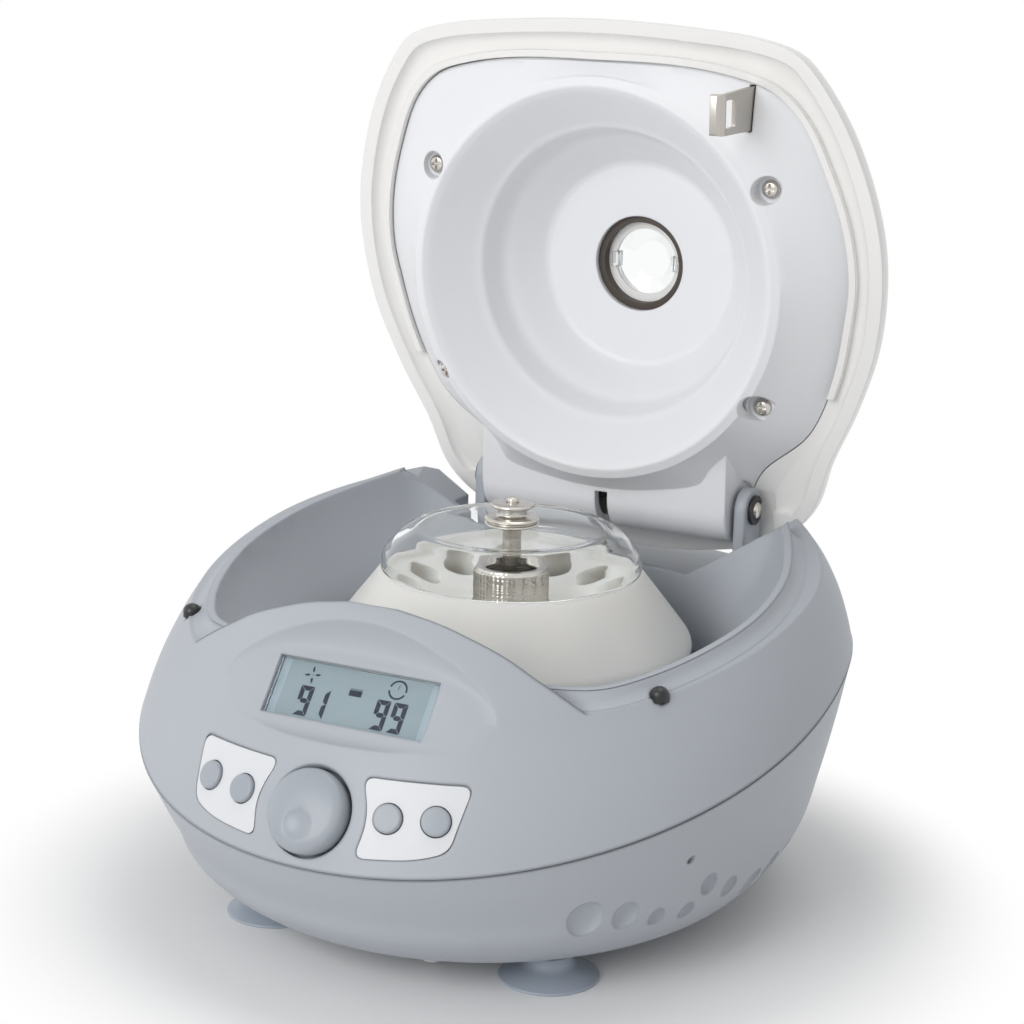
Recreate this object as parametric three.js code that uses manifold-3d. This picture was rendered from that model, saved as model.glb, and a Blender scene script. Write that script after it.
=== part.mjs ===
// Mini centrifuge for micro tubes, in millimetres, standing on its four feet with the lid open.
// X is to the right, Y to the rear and Z up. Lengths along Y are given from the housing's widest line.

import * as THREE from "three";
import { mergeVertices } from "three/addons/utils/BufferGeometryUtils.js";
import Module from "manifold-3d";

const wasm = await Module();
wasm.setup();

// Fits and cutting

const clearance = 0.3;
const cutOver = 60;
const skin = 0.01;

// Housing

const bodyWidth = 226;
const bodyDepth = 245.2;
const baseHeight = 8;
const seamHeight = 78;
const hoodHeight = 58.5;
const housingWall = 3;
const seamGap = 0.6;
const seamSlope = 0.25;
const seamLevelStart = 10;
const seamLevelLength = 28;
const squareness = 2.04;

// Rows of height, half width, front half depth and rear half depth
const lowerShares = [
  [0, 0.628, 0.636, 0.862],
  [0.03, 0.72, 0.71, 0.868],
  [0.1, 0.79, 0.777, 0.876],
  [0.3, 0.885, 0.862, 0.905],
  [0.5, 0.925, 0.899, 0.945],
  [0.75, 0.965, 0.953, 0.985],
  [1, 1, 1, 1],
];
const upperShares = [
  [0, 1, 1, 1],
  [0.12, 0.981, 0.979, 0.998],
  [0.25, 0.954, 0.948, 0.992],
  [0.4, 0.912, 0.901, 0.965],
  [0.51, 0.874, 0.86, 0.92],
  [0.62, 0.842, 0.822, 0.86],
  [0.73, 0.8, 0.782, 0.81],
  [0.83, 0.73, 0.752, 0.77],
  [0.91, 0.63, 0.722, 0.735],
  [0.96, 0.53, 0.702, 0.71],
  [1, 0.38, 0.675, 0.66],
];

// Rotor axis and chamber

const rotorY = 7.3;
const bowlRadius = 70;
const bowlTop = 69.7;
const bowlDepth = 12.7;
const bowlFloor = bowlTop - bowlDepth;
const bowlWall = 3;
const bowlRound = 8;
const wellWall = 2.5;
const wellRearRadius = 70.4;
const wellInset = 8;
const earShare = 0.743;

// Plane of the lid's rim, whose height over the housing's centre is given

const rimRise = 30;
const rimHeight = seamHeight + rimRise;
const rimSlope = 0.178;
const ledgeDrop = 3;
const ridgeRise = 1;
const hoodGap = 1.6;
const hoodTailSet = 13.7;

// Lid

const lidSideSet = 14.7;
const lidFrontSet = 42.9;
const lidRearSet = 14.6;
const lidHalfWidth = bodyWidth / 2 - lidSideSet;
const lidFront = bodyDepth / 2 - lidFrontSet;
const lidRear = bodyDepth / 2 - lidRearSet;
const lidHeight = 38;
const lidLand = 4.8;
const lidStep = 2.5;
const lidLip = 2.4;
const lipDrop = 1;
const lipRearY = 44;
const lidWall = 2.6;
const mouthDepth = 11;
const linerDrop = 5;
const linerWall = 2.4;

// Half of the lid's outline, from the front round to the rear, in half widths and front or rear lengths
const lidOutlineShares = [
  [0, -1],
  [0.366, -0.981],
  [0.59, -0.949],
  [0.717, -0.898],
  [0.788, -0.809],
  [0.895, -0.583],
  [0.98, -0.251],
  [1, 0.009],
  [0.969, 0.241],
  [0.885, 0.458],
  [0.793, 0.634],
  [0.722, 0.806],
  [0.58, 0.917],
  [0.305, 0.984],
  [0, 1],
];

// Half of the liner's outline, in the same shares
const linerOutlineShares = [
  [0, -0.828],
  [0.3, -0.822],
  [0.49, -0.79],
  [0.63, -0.735],
  [0.726, -0.62],
  [0.8, -0.427],
  [0.86, -0.19],
  [0.878, 0.02],
  [0.862, 0.14],
  [0.81, 0.35],
  [0.713, 0.54],
  [0.54, 0.68],
  [0.495, 0.76],
  [0.482, 0.885],
  [0.25, 0.896],
  [0, 0.898],
];

// Rows of the lid's dome: width and height
const domeShares = [
  [1, 0],
  [1, 0.1],
  [0.988, 0.24],
  [0.955, 0.39],
  [0.89, 0.55],
  [0.78, 0.71],
  [0.63, 0.83],
  [0.43, 0.93],
  [0.2, 0.985],
];

// Rows of the dome's inner face: width and height
const domeInnerShares = [
  [0.957, 0.19],
  [0.93, 0.33],
  [0.862, 0.49],
  [0.755, 0.64],
  [0.61, 0.76],
  [0.42, 0.86],
  [0.2, 0.915],
];

// Dish in the lid, rows of radius and height over the dish's rim

const dishSink = 14.76;
const dishHeight = rimHeight - dishSink;
const dishRadius = 65;
const dishDepth = 40.2;
const dishShares = [
  [1, 0],
  [0.97, 0.035],
  [0.8, 0.355],
  [0.765, 0.4],
  [0.725, 0.64],
  [0.67, 0.725],
  [0.56, 0.965],
  [0.535, 0.985],
];
const dishWallShare = 0.6;
const windowRadius = 16.76;
const windowRingRadius = 15.2;
const windowRingWall = 1.8;
const windowRingHeight = 138.6;
const windowGlassRadius = 11.5;
const windowGlassThickness = 1.6;

// Hinge

const hingeSet = 21.97;
const hingeRise = 8.83;
const hingeY = lidRear - hingeSet;
const hingeZ = rimHeight + hingeRise;
const hingeOpenDegrees = 88.36;
const barrelRadius = 12;
const barrelHalfLength = 47;
const barrelBore = 8.6;
const barrelEnd = 8;
const hingePinRadius = 2.9;
const hingePinHalfLength = 55.2;
const bracketThickness = 4.2;
const bracketGap = 1.3;
const bracketRadius = 7.5;
const bracketFoot = 3.6;
const hingeNotchRadius = 9.6;
const clipRadius = 5.2;
const clipThickness = 1;
const springRadius = 4.2;
const springWire = 0.8;
const springSides = 3;
const springLegShare = 0.12;
const springHalfLength = 12;
const springTurns = 6;
const springSlotHalfWidth = 2.4;
const springSlotDegrees = [230, 350];

// Rear deck between the ears, and the pocket in it for the hinge

const deckRise = 13;
const deckHeight = seamHeight + deckRise;
const deckFrontSet = 4.03;
const deckFrontY = hingeY - deckFrontSet;
const saddleRise = 3;
const saddleHeight = deckHeight + saddleRise;
const saddleHalfWidth = 34;
const saddleSet = 28.03;
const saddleFrontY = hingeY - saddleSet;
const earRise = 25;
const earInnerHeight = saddleHeight + earRise;
const pocketHalfWidth = 57;

// Latch plate and its lock

const latchSideShare = 0.5493;
const latchFrontShare = 0.6688;
const latchX = lidHalfWidth * latchSideShare;
const latchY = -lidFront * latchFrontShare;
const latchThickness = 1.5;
const latchWidth = 14.4;
const latchTipWidth = 13;
const latchTop = 106.6;
const latchTip = 72.5;
const latchCurl = 3;
const latchSlotWidth = 9;
const latchSlotHeight = 8;
const latchSlotBottom = 75.5;
const lockLength = 21;
const lockWidth = 19;
const lockHeight = 12;
const lockBase = 71;
const lockGap = 2.5;
const boltWidth = 6;
const boltHeight = 4;
const boltLength = 15;
const boltTravel = 6;
const pocketMargin = 2.4;
const lockX = latchX + latchThickness + pocketMargin + lockGap;
const boltZ = latchSlotBottom + (latchSlotHeight - boltHeight) / 2;

// Rotor

const rotorRadius = 60;
const rotorWideHeight = 83.5;
const rotorTop = 107;
const rotorTopRadius = 42.8;
const rotorBottom = 63.5;
const rotorRim = 2.6;

// Rows of the rotor's outside: radius, and height under and over its widest line
const rotorUnderShares = [
  [0.76, 0],
  [0.88, 0.18],
  [0.965, 0.5],
  [0.995, 0.82],
  [1, 1],
];
const rotorOverShares = [
  [0.985, 0.1],
  [0.86, 0.52],
  [0.755, 0.86],
];
const funnelRadius = 21;
const funnelFloor = 94;
const tubeCount = 12;
const tubeRadius = 5.6;
const tubeLength = 30;
const tubeStartRadius = 32;
const tubeStartHeight = 101;
const shaftRadius = 4;

const nutRadius = 12.56;
const nutTop = 108.5;
const nutBore = 8.6;
const nutKnurls = 30;
const nutKnurlDepth = 0.45;
const nutFloorShare = 0.4;

const coverRadius = 42.8;
const coverTopRadius = 31.7;
const coverTop = 121.4;
const coverSkirt = 4.5;
const coverWall = 1.8;
const coverBore = 3.4;

const knobSpindleRadius = 3.1;
const knobSpindleBottom = 105.5;
const knobFlangeRadius = 9.15;
const knobFlangeTop = 124.6;
const knobNeckRadius = 4.75;
const knobCapRadius = 7.2;
const knobCapBottom = 127.6;
const knobCapTop = 129.2;
const knobPinRadius = 1.85;
const knobPinTop = 131;
const knobPinLength = 7.2;

// Drive

const motorRadius = 28;
const motorBottom = 14;
const motorTop = 43;
const motorPlateRadius = 46;
const motorPlateThickness = 3;
const mountCircleRadius = 38;
const mountRadius = 6;
const mountHeight = 8;
const mountCount = 3;
const postRadius = 7;
const shaftBottom = 40;
const bowlHoleRadius = 9;

// Front panel: display, keys and knob, on the hood's face

const displaySet = 28.55;
const displayY = -bodyDepth / 2 + displaySet;
const displayZ = 91.35;
const displayTiltDegrees = 38.4;
const displayHalfWidth = 27.5;
const displayHalfHeight = 9.3;
const displaySetback = 1.2;
const displayGlass = 1;
const displayModule = 4.5;
const recessFloorHalfWidth = 38;
const recessFloorTop = 13;
const recessFloorBottom = 12.4;
const recessHalfWidth = 51;
const recessTop = 22.5;
const recessBottom = 19.5;
const recessRise = 9;

const dialSet = 2.35;
const dialFaceY = -bodyDepth / 2 + dialSet;
const dialFaceZ = 65.02;
const dialTiltDegrees = 30.7;
const dialRadius = 12.68;
const dialDepth = 9.5;
const dialDome = 1.1;
const dialEdge = 2.6;
const dialDimpleRadius = 4.8;
const dialDimpleOffset = 5.8;
const dialDimpleDepth = 1.2;
const dialRecessRadius = 17.2;
const dialRecessDepth = 10.4;
const dialShaftRadius = 3;
const dialShaftLength = 9;
const encoderSize = 13;
const encoderDepth = 7;

const keyRadius = 4.9;
const keyHeight = 1.7;
const keyDepth = 4;
const keyFlange = 1.2;
const keyTravel = 0.8;
const keyPlaces = {
  select_button: [-38.5, 64.6],
  pulse_button: [-24.9, 64.2],
  lid_button: [24.6, 64.4],
  start_button: [38.2, 64.8],
};

const plateSeat = 1;
const plateGap = 0.25;
const plateOuterX = 44.5;
const plateInnerX = 17.5;
const plateTopZ = 74;
const plateBottomZ = 53;
const plateOuterBottomZ = 57;
const plateLean = 2.4;
const plateCorner = 3.4;
const plateBow = 3.2;
const plateBackShare = 0.4;

// Boards behind the panel and in the base

const boardThickness = 1.6;
const controlBoardHalfWidth = 40;
const controlBoardHeight = 52;
const mainBoardWidth = 62;
const mainBoardDepth = 34;
const mainBoardSet = 56.6;
const mainBoardY = bodyDepth / 2 - mainBoardSet;
const mainBoardZ = 18;
const standoffRadius = 3;

// Feet, bumpers, plug

const footSideSet = 63.3;
const footFrontSet = 64.7;
const footRearSet = 48.6;
const footX = bodyWidth / 2 - footSideSet;
const footFrontY = -bodyDepth / 2 + footFrontSet;
const footRearY = bodyDepth / 2 - footRearSet;
const footRadius = 15.7;
const footNeck = 7.2;
const footStud = 3;
const footHead = 4.6;
const bumperSideSet = 15.8;
const bumperFrontSet = 23.7;
const bumperX = lidHalfWidth - bumperSideSet;
const bumperY = -lidFront + bumperFrontSet;
const bumperRadius = 2.9;
const bumperDrop = 0.43;
const bumperSeatDrop = 4.43;
const bumperStud = 1.6;
const bumperStudLength = 5;
const bumperCrownShares = [
  [1, 0.8],
  [0.85, 0.35],
  [0.5, 0.08],
  [0, 0],
];
const plugX = 16;
const plugSet = 51.6;
const plugY = -bodyDepth / 2 + plugSet;
const plugRadius = 3.2;
const plugBottom = 2.8;
const plugHead = 4.6;
const plugTravel = 2.4;

// Lid screws

const screwRadius = 3.1;
const screwHead = 2;
const screwShank = 1.4;
const screwLength = 9;
const screwRecessRadius = 4.6;
const screwRecessDepth = 4.5;
const screwPlaceShares = {
  lid_screw_front_left: [-0.6307, -0.345],
  lid_screw_front_right: [0.6307, -0.345],
  lid_screw_rear_left: [-0.6104, 0.5772],
  lid_screw_rear_right: [0.6104, 0.5772],
};
const screwPlaces = Object.fromEntries(
  Object.entries(screwPlaceShares).map(([name, [x, y]]) => [name, [lidHalfWidth * x, lidFront * y]]),
);

// Vent dimples along each side of the lower housing: place along Y, height, radius

const ventDepth = 2.2;
const ventStretch = 1.25;
const ventRows = 4;
const ventPlaces = [
  [-80, 31.5, 5.6],
  [-69.5, 30.3, 4.3],
  [-59, 27.2, 2.9],
  [-48, 26.2, 2.9],
  [-43.5, 34.4, 3.2],
  [-32, 29.6, 3.3],
  [-16, 25.6, 4.6],
  [-4, 27.6, 4.2],
  [9, 27.2, 4],
];
const pinHoleY = -56.3;
const pinHoleZ = 46.5;
const pinHoleRadius = 1.3;

// Rear panel with the power socket and the switch

const rearPanelSet = 15.6;
const rearPanelY = bodyDepth / 2 - rearPanelSet;
const rearPanelHalfWidth = 32;
const rearPanelBottom = 30;
const rearPanelTop = 56;
const rearPanelWall = 3;
const panelMiddleZ = (rearPanelBottom + rearPanelTop) / 2;
const jackX = 16;
const jackRadius = 5;
const jackBore = 3;
const jackDepth = 14;
const jackPin = 1;
const switchX = -12;
const switchHalfWidth = 9;
const switchHalfHeight = 6;
const switchDepth = 12;
const switchFrame = 1.6;
const rockerThickness = 5;
const rockerProud = 2.2;

// Facets

const ringPoints = 36;
const rotorPoints = 36;
const tubePoints = 8;
const roundPoints = 18;
const smallPoints = 10;
const ventPoints = 10;
const springPoints = 9;

// Helpers: solids in and out

function toSolid(geometry) {
  const bare = geometry.index ? geometry.toNonIndexed() : geometry.clone();
  bare.deleteAttribute("normal");
  bare.deleteAttribute("uv");
  const merged = mergeVertices(bare, skin / 10);
  const triVerts = new Uint32Array(merged.index.array);
  const solid = new wasm.Manifold(
    new wasm.Mesh({ numProp: 3, vertProperties: merged.attributes.position.array, triVerts }),
  );
  if (solid.volume() >= 0) return solid;
  for (let i = 0; i < triVerts.length; i += 3) {
    [triVerts[i + 1], triVerts[i + 2]] = [triVerts[i + 2], triVerts[i + 1]];
  }
  return new wasm.Manifold(
    new wasm.Mesh({ numProp: 3, vertProperties: merged.attributes.position.array, triVerts }),
  );
}

function toGeometry(solid) {
  const made = solid.getMesh();
  const points = new Float32Array(made.numVert * 3);
  for (let i = 0; i < made.numVert; i++) {
    points.set(made.vertProperties.subarray(i * made.numProp, i * made.numProp + 3), i * 3);
  }
  const geometry = new THREE.BufferGeometry();
  geometry.setAttribute("position", new THREE.BufferAttribute(points, 3));
  geometry.setIndex(new THREE.BufferAttribute(made.triVerts, 1));
  const flat = geometry.toNonIndexed();
  flat.computeVertexNormals();
  return flat;
}

const join = (first, ...others) => others.reduce((sum, next) => sum.add(next), first);
const cut = (first, ...others) => others.reduce((rest, next) => rest.subtract(next), first);
const degrees = (angle) => THREE.MathUtils.degToRad(angle);

// Moves a geometry made round the Z axis so that its axis points along a direction from a place
function placed(geometry, place, direction = new THREE.Vector3(0, 0, 1)) {
  const turn = new THREE.Quaternion().setFromUnitVectors(new THREE.Vector3(0, 0, 1), direction);
  geometry.applyQuaternion(turn);
  geometry.translate(place.x, place.y, place.z);
  return geometry;
}

function box(x0, x1, y0, y1, z0, z1) {
  const geometry = new THREE.BoxGeometry(x1 - x0, y1 - y0, z1 - z0);
  geometry.translate((x0 + x1) / 2, (y0 + y1) / 2, (z0 + z1) / 2);
  return toSolid(geometry);
}

// A turned solid whose profile is a list of radius and height, from the axis back to the axis
function latheGeometry(profile, points = roundPoints) {
  const geometry = new THREE.LatheGeometry(
    profile.map(([radius, height]) => new THREE.Vector2(radius, height)),
    points,
  );
  geometry.rotateX(Math.PI / 2);
  return geometry;
}

function turned(profile, x, y, points = roundPoints) {
  return toSolid(placed(latheGeometry(profile, points), new THREE.Vector3(x, y, 0)));
}

function rod(radius, z0, z1, x, y, points = roundPoints) {
  return turned([[0, z0], [radius, z0], [radius, z1], [0, z1]], x, y, points);
}

function rodAlong(radius, from, to, points = roundPoints) {
  const direction = to.clone().sub(from);
  const profile = [[0, 0], [radius, 0], [radius, direction.length()], [0, direction.length()]];
  return toSolid(placed(latheGeometry(profile, points), from, direction.normalize()));
}

// A closed surface through rings of one count, capped at both ends or joined last to first
function loft(rings, endless = false) {
  const count = rings[0].length;
  const positions = rings.flat().flatMap((point) => [point.x, point.y, point.z]);
  const faces = [];
  const bands = endless ? rings.length : rings.length - 1;
  for (let row = 0; row < bands; row++) {
    const low = row * count;
    const high = ((row + 1) % rings.length) * count;
    for (let i = 0; i < count; i++) {
      const next = (i + 1) % count;
      faces.push(low + i, low + next, high + next, low + i, high + next, high + i);
    }
  }
  if (!endless) {
    const ends = [rings[0], rings[rings.length - 1]];
    ends.forEach((ring, end) => {
      const middle = ring.reduce((sum, point) => sum.add(point), new THREE.Vector3());
      middle.divideScalar(count);
      const centre = positions.length / 3;
      positions.push(middle.x, middle.y, middle.z);
      const start = end ? (rings.length - 1) * count : 0;
      for (let i = 0; i < count; i++) {
        const next = (i + 1) % count;
        if (end) faces.push(start + i, start + next, centre);
        else faces.push(start + next, start + i, centre);
      }
    });
  }
  const geometry = new THREE.BufferGeometry();
  geometry.setAttribute("position", new THREE.BufferAttribute(new Float32Array(positions), 3));
  geometry.setIndex(faces);
  return toSolid(geometry);
}

// A plan outline pulled up between two heights, then sheared to follow the lid's rim plane
function sheared(points, low, high) {
  const bottom = points.map((p) => new THREE.Vector3(p.x, p.y, rimZ(p.y) + low));
  const top = points.map((p) => new THREE.Vector3(p.x, p.y, rimZ(p.y) + high));
  return loft([bottom, top]);
}

function prism(points, z0, z1) {
  const at = (z) => points.map((p) => new THREE.Vector3(p.x, p.y, z));
  return loft([at(z0), at(z1)]);
}

function rimZ(y) {
  return rimHeight + rimSlope * y;
}

// Housing form

// The share along a table of rows, with a smooth curve between them
function rowAt(rows, share) {
  const last = rows.length - 1;
  let i = 0;
  while (i < last - 1 && share > rows[i + 1][0]) i++;
  const [a, b] = [rows[i], rows[i + 1]];
  const before = rows[Math.max(i - 1, 0)];
  const after = rows[Math.min(i + 2, last)];
  const span = b[0] - a[0];
  const t = (share - a[0]) / span;
  return a.slice(1).map((start, k) => {
    const end = b[k + 1];
    const slopeA = i > 0 ? (end - before[k + 1]) / (b[0] - before[0]) : (end - start) / span;
    const slopeB = i + 2 <= last ? (after[k + 1] - start) / (after[0] - a[0]) : (end - start) / span;
    const t2 = t * t;
    const t3 = t2 * t;
    return (
      (2 * t3 - 3 * t2 + 1) * start +
      (t3 - 2 * t2 + t) * span * slopeA +
      (3 * t2 - 2 * t3) * end +
      (t3 - t2) * span * slopeB
    );
  });
}

// How far the seam has risen at a place along Y: it levels out behind the middle
function levelled(y) {
  if (y < seamLevelStart) return y;
  return seamLevelStart + seamLevelLength * Math.tanh((y - seamLevelStart) / seamLevelLength);
}

function ellipsePoint(angle, halfWidth, front, rear) {
  const c = Math.cos(angle);
  const s = Math.sin(angle);
  const x = Math.sign(c) * Math.abs(c) ** (2 / squareness) * halfWidth;
  const y = Math.sign(s) * Math.abs(s) ** (2 / squareness) * (s < 0 ? front : rear);
  return [x, y];
}

function housingRing(rows, share, z0, height, inset, slopeShare, raise = 0) {
  const [width, front, rear] = rowAt(rows, share);
  const ring = [];
  for (let i = 0; i < ringPoints; i++) {
    const angle = (i / ringPoints) * 2 * Math.PI;
    const [x, y] = ellipsePoint(
      angle,
      (width * bodyWidth) / 2 - inset,
      (front * bodyDepth) / 2 - inset,
      (rear * bodyDepth) / 2 - inset,
    );
    ring.push(
      new THREE.Vector3(x, y, z0 + share * height + raise + seamSlope * slopeShare * levelled(y)),
    );
  }
  return ring;
}

const lowerHeight = seamHeight - baseHeight;
const lowerRing = (share, inset, raise) =>
  housingRing(lowerShares, share, baseHeight, lowerHeight, inset, share, raise);
const upperRing = (share, inset, raise) =>
  housingRing(upperShares, share, seamHeight, hoodHeight, inset, 1, raise);
const lowerSteps = [0, 0.03, 0.1, 0.25, 0.5, 0.75, 1];
const lowerInnerSteps = [0.03, 0.1, 0.4, 1];
const upperSteps = [0, 0.2, 0.4, 0.57, 0.72, 0.85, 0.94, 1];
const upperInnerSteps = [0, 0.3, 0.57, 0.8, 0.94, 1];

// Place on the hood's face at a given X and Z, and the way it faces
function facePoint(x, z) {
  let low = -bodyDepth;
  let high = 0;
  const outside = (y) => {
    const share = (z - seamSlope * levelled(y) - seamHeight) / hoodHeight;
    if (share > 1) return true;
    const [width, front] = rowAt(upperShares, Math.max(share, 0));
    const across = Math.abs(x / ((width * bodyWidth) / 2)) ** squareness;
    return across + Math.abs(y / ((front * bodyDepth) / 2)) ** squareness > 1;
  };
  for (let i = 0; i < 40; i++) {
    const middle = (low + high) / 2;
    if (outside(middle)) low = middle;
    else high = middle;
  }
  return new THREE.Vector3(x, high, z);
}

function faceNormal(x, z) {
  const step = clearance * 2;
  const across = facePoint(x + step, z).sub(facePoint(x - step, z));
  const up = facePoint(x, z + step).sub(facePoint(x, z - step));
  return across.cross(up).normalize();
}

// Outlines round the rotor axis, one point for each angle

function closedCurve(shares) {
  const half = shares.map(
    ([x, y]) => new THREE.Vector3(x * lidHalfWidth, y < 0 ? y * lidFront : y * lidRear, 0),
  );
  const other = half.slice(1, -1).reverse();
  const mirrored = other.map((p) => new THREE.Vector3(-p.x, p.y, 0));
  return new THREE.CatmullRomCurve3([...half, ...mirrored], true).getPoints(ringPoints * 4);
}

function inwards(points, inset) {
  return points.map((p, i) => {
    const before = points[(i + points.length - 1) % points.length];
    const after = points[(i + 1) % points.length];
    const along = after.clone().sub(before).normalize();
    return new THREE.Vector3(p.x - along.y * inset, p.y + along.x * inset, 0);
  });
}

function roundRotor(points) {
  const polar = points.map((p) => [Math.atan2(p.y - rotorY, p.x), Math.hypot(p.x, p.y - rotorY)]);
  polar.sort((a, b) => a[0] - b[0]);
  const last = polar[polar.length - 1];
  const wrapped = [
    [last[0] - 2 * Math.PI, last[1]],
    ...polar,
    [polar[0][0] + 2 * Math.PI, polar[0][1]],
  ];
  return (angle) => {
    const turnedAngle = angle > Math.PI ? angle - 2 * Math.PI : angle;
    let i = 0;
    while (i < wrapped.length - 2 && wrapped[i + 1][0] < turnedAngle) i++;
    const [[a0, r0], [a1, r1]] = [wrapped[i], wrapped[i + 1]];
    return r0 + ((r1 - r0) * (turnedAngle - a0)) / (a1 - a0);
  };
}

const lidCurve = closedCurve(lidOutlineShares).slice(0, -1);
const linerCurve = closedCurve(linerOutlineShares).slice(0, -1);
const lidRadiusAt = (inset) => roundRotor(inwards(lidCurve, inset));
const linerRadiusAt = (inset) => roundRotor(inwards(linerCurve, inset));

// A ring from a radius for each angle, and a height for each point
function polarRing(radiusAt, heightAt, scale = 1) {
  const ring = [];
  for (let i = 0; i < ringPoints; i++) {
    const angle = (i / ringPoints) * 2 * Math.PI;
    const radius = radiusAt(angle) * scale;
    const x = radius * Math.cos(angle);
    const y = rotorY + radius * Math.sin(angle);
    ring.push(new THREE.Vector3(x, y, heightAt(y)));
  }
  return ring;
}

const circle = (radius) => () => radius;
const flat = (z) => () => z;
const aboveRim = (rise) => (y) => rimZ(y) + rise;

// The well above the chamber bowl: its radius at the top, for each angle
function wellRadiusAt(angle) {
  const outline = lidRadiusAt(wellInset)(angle);
  if (Math.sin(angle) <= 0) return outline;
  const earRadius = lidHalfWidth - wellInset;
  const rear = wellRearRadius + (earRadius - wellRearRadius) * (Math.cos(angle) / earShare) ** 2;
  return Math.min(outline, rear);
}
const wellTops = Array.from({ length: ringPoints }, (_, i) =>
  wellRadiusAt((i / ringPoints) * 2 * Math.PI),
);
const wellTopAt = (angle) => wellTops[Math.round((angle / 2 / Math.PI) * ringPoints) % ringPoints];

// Rows of the well: how far it has opened, and how far up from the bowl to the rim
const wellShares = [
  [0, 0],
  [0.12, 0.2],
  [0.45, 0.45],
  [0.8, 0.72],
  [1, 1],
];

function well(grow, rise) {
  const rings = wellShares.map(([open, up]) =>
    polarRing(
      (angle) => bowlRadius + grow + (wellTopAt(angle) - bowlRadius) * open,
      (y) => bowlTop + clearance + (rimZ(y) + ridgeRise - bowlTop - clearance) * up,
    ),
  );
  rings.push(polarRing((angle) => wellTopAt(angle) + grow, aboveRim(ridgeRise + rise)));
  return loft(rings);
}

// Lower housing

const acrossX = new THREE.Vector3(1, 0, 0);
const up = new THREE.Vector3(0, 0, 1);

function sidePoint(side, y, z) {
  let share = (z - baseHeight) / lowerHeight;
  for (let i = 0; i < 12; i++) {
    share = (z - baseHeight - seamSlope * share * levelled(y)) / lowerHeight;
  }
  const [width, front, rear] = rowAt(lowerShares, share);
  const reach = ((y < 0 ? front : rear) * bodyDepth) / 2;
  const across = (1 - Math.abs(y / reach) ** squareness) ** (1 / squareness);
  return new THREE.Vector3((side * across * width * bodyWidth) / 2, y, z);
}

function sideNormal(side, y, z) {
  const step = clearance * 2;
  const along = sidePoint(side, y + step, z).sub(sidePoint(side, y - step, z));
  const rise = sidePoint(side, y, z + step).sub(sidePoint(side, y, z - step));
  return along.cross(rise).normalize().multiplyScalar(side);
}

function ventDimple(side, y, z, radius) {
  const normal = sideNormal(side, y, z);
  const ball = new THREE.SphereGeometry(radius, ventPoints, ventRows);
  ball.scale(1, ventStretch, ventDepth / radius);
  const frame = new THREE.Matrix4().lookAt(new THREE.Vector3(), normal.clone().negate(), up);
  ball.applyMatrix4(frame);
  const place = sidePoint(side, y, z);
  ball.translate(place.x, place.y, place.z);
  return toSolid(ball);
}

const footPlaces = {
  foot_front_left: [-footX, footFrontY],
  foot_front_right: [footX, footFrontY],
  foot_rear_left: [-footX, footRearY],
  foot_rear_right: [footX, footRearY],
};
const floorTop = baseHeight + housingWall;
const mountPlaces = Array.from({ length: mountCount }, (_, i) => {
  const angle = ((i + 0.25) / mountCount) * 2 * Math.PI;
  return [mountCircleRadius * Math.cos(angle), rotorY + mountCircleRadius * Math.sin(angle)];
});
const postTop = motorTop - mountHeight - clearance;

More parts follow.
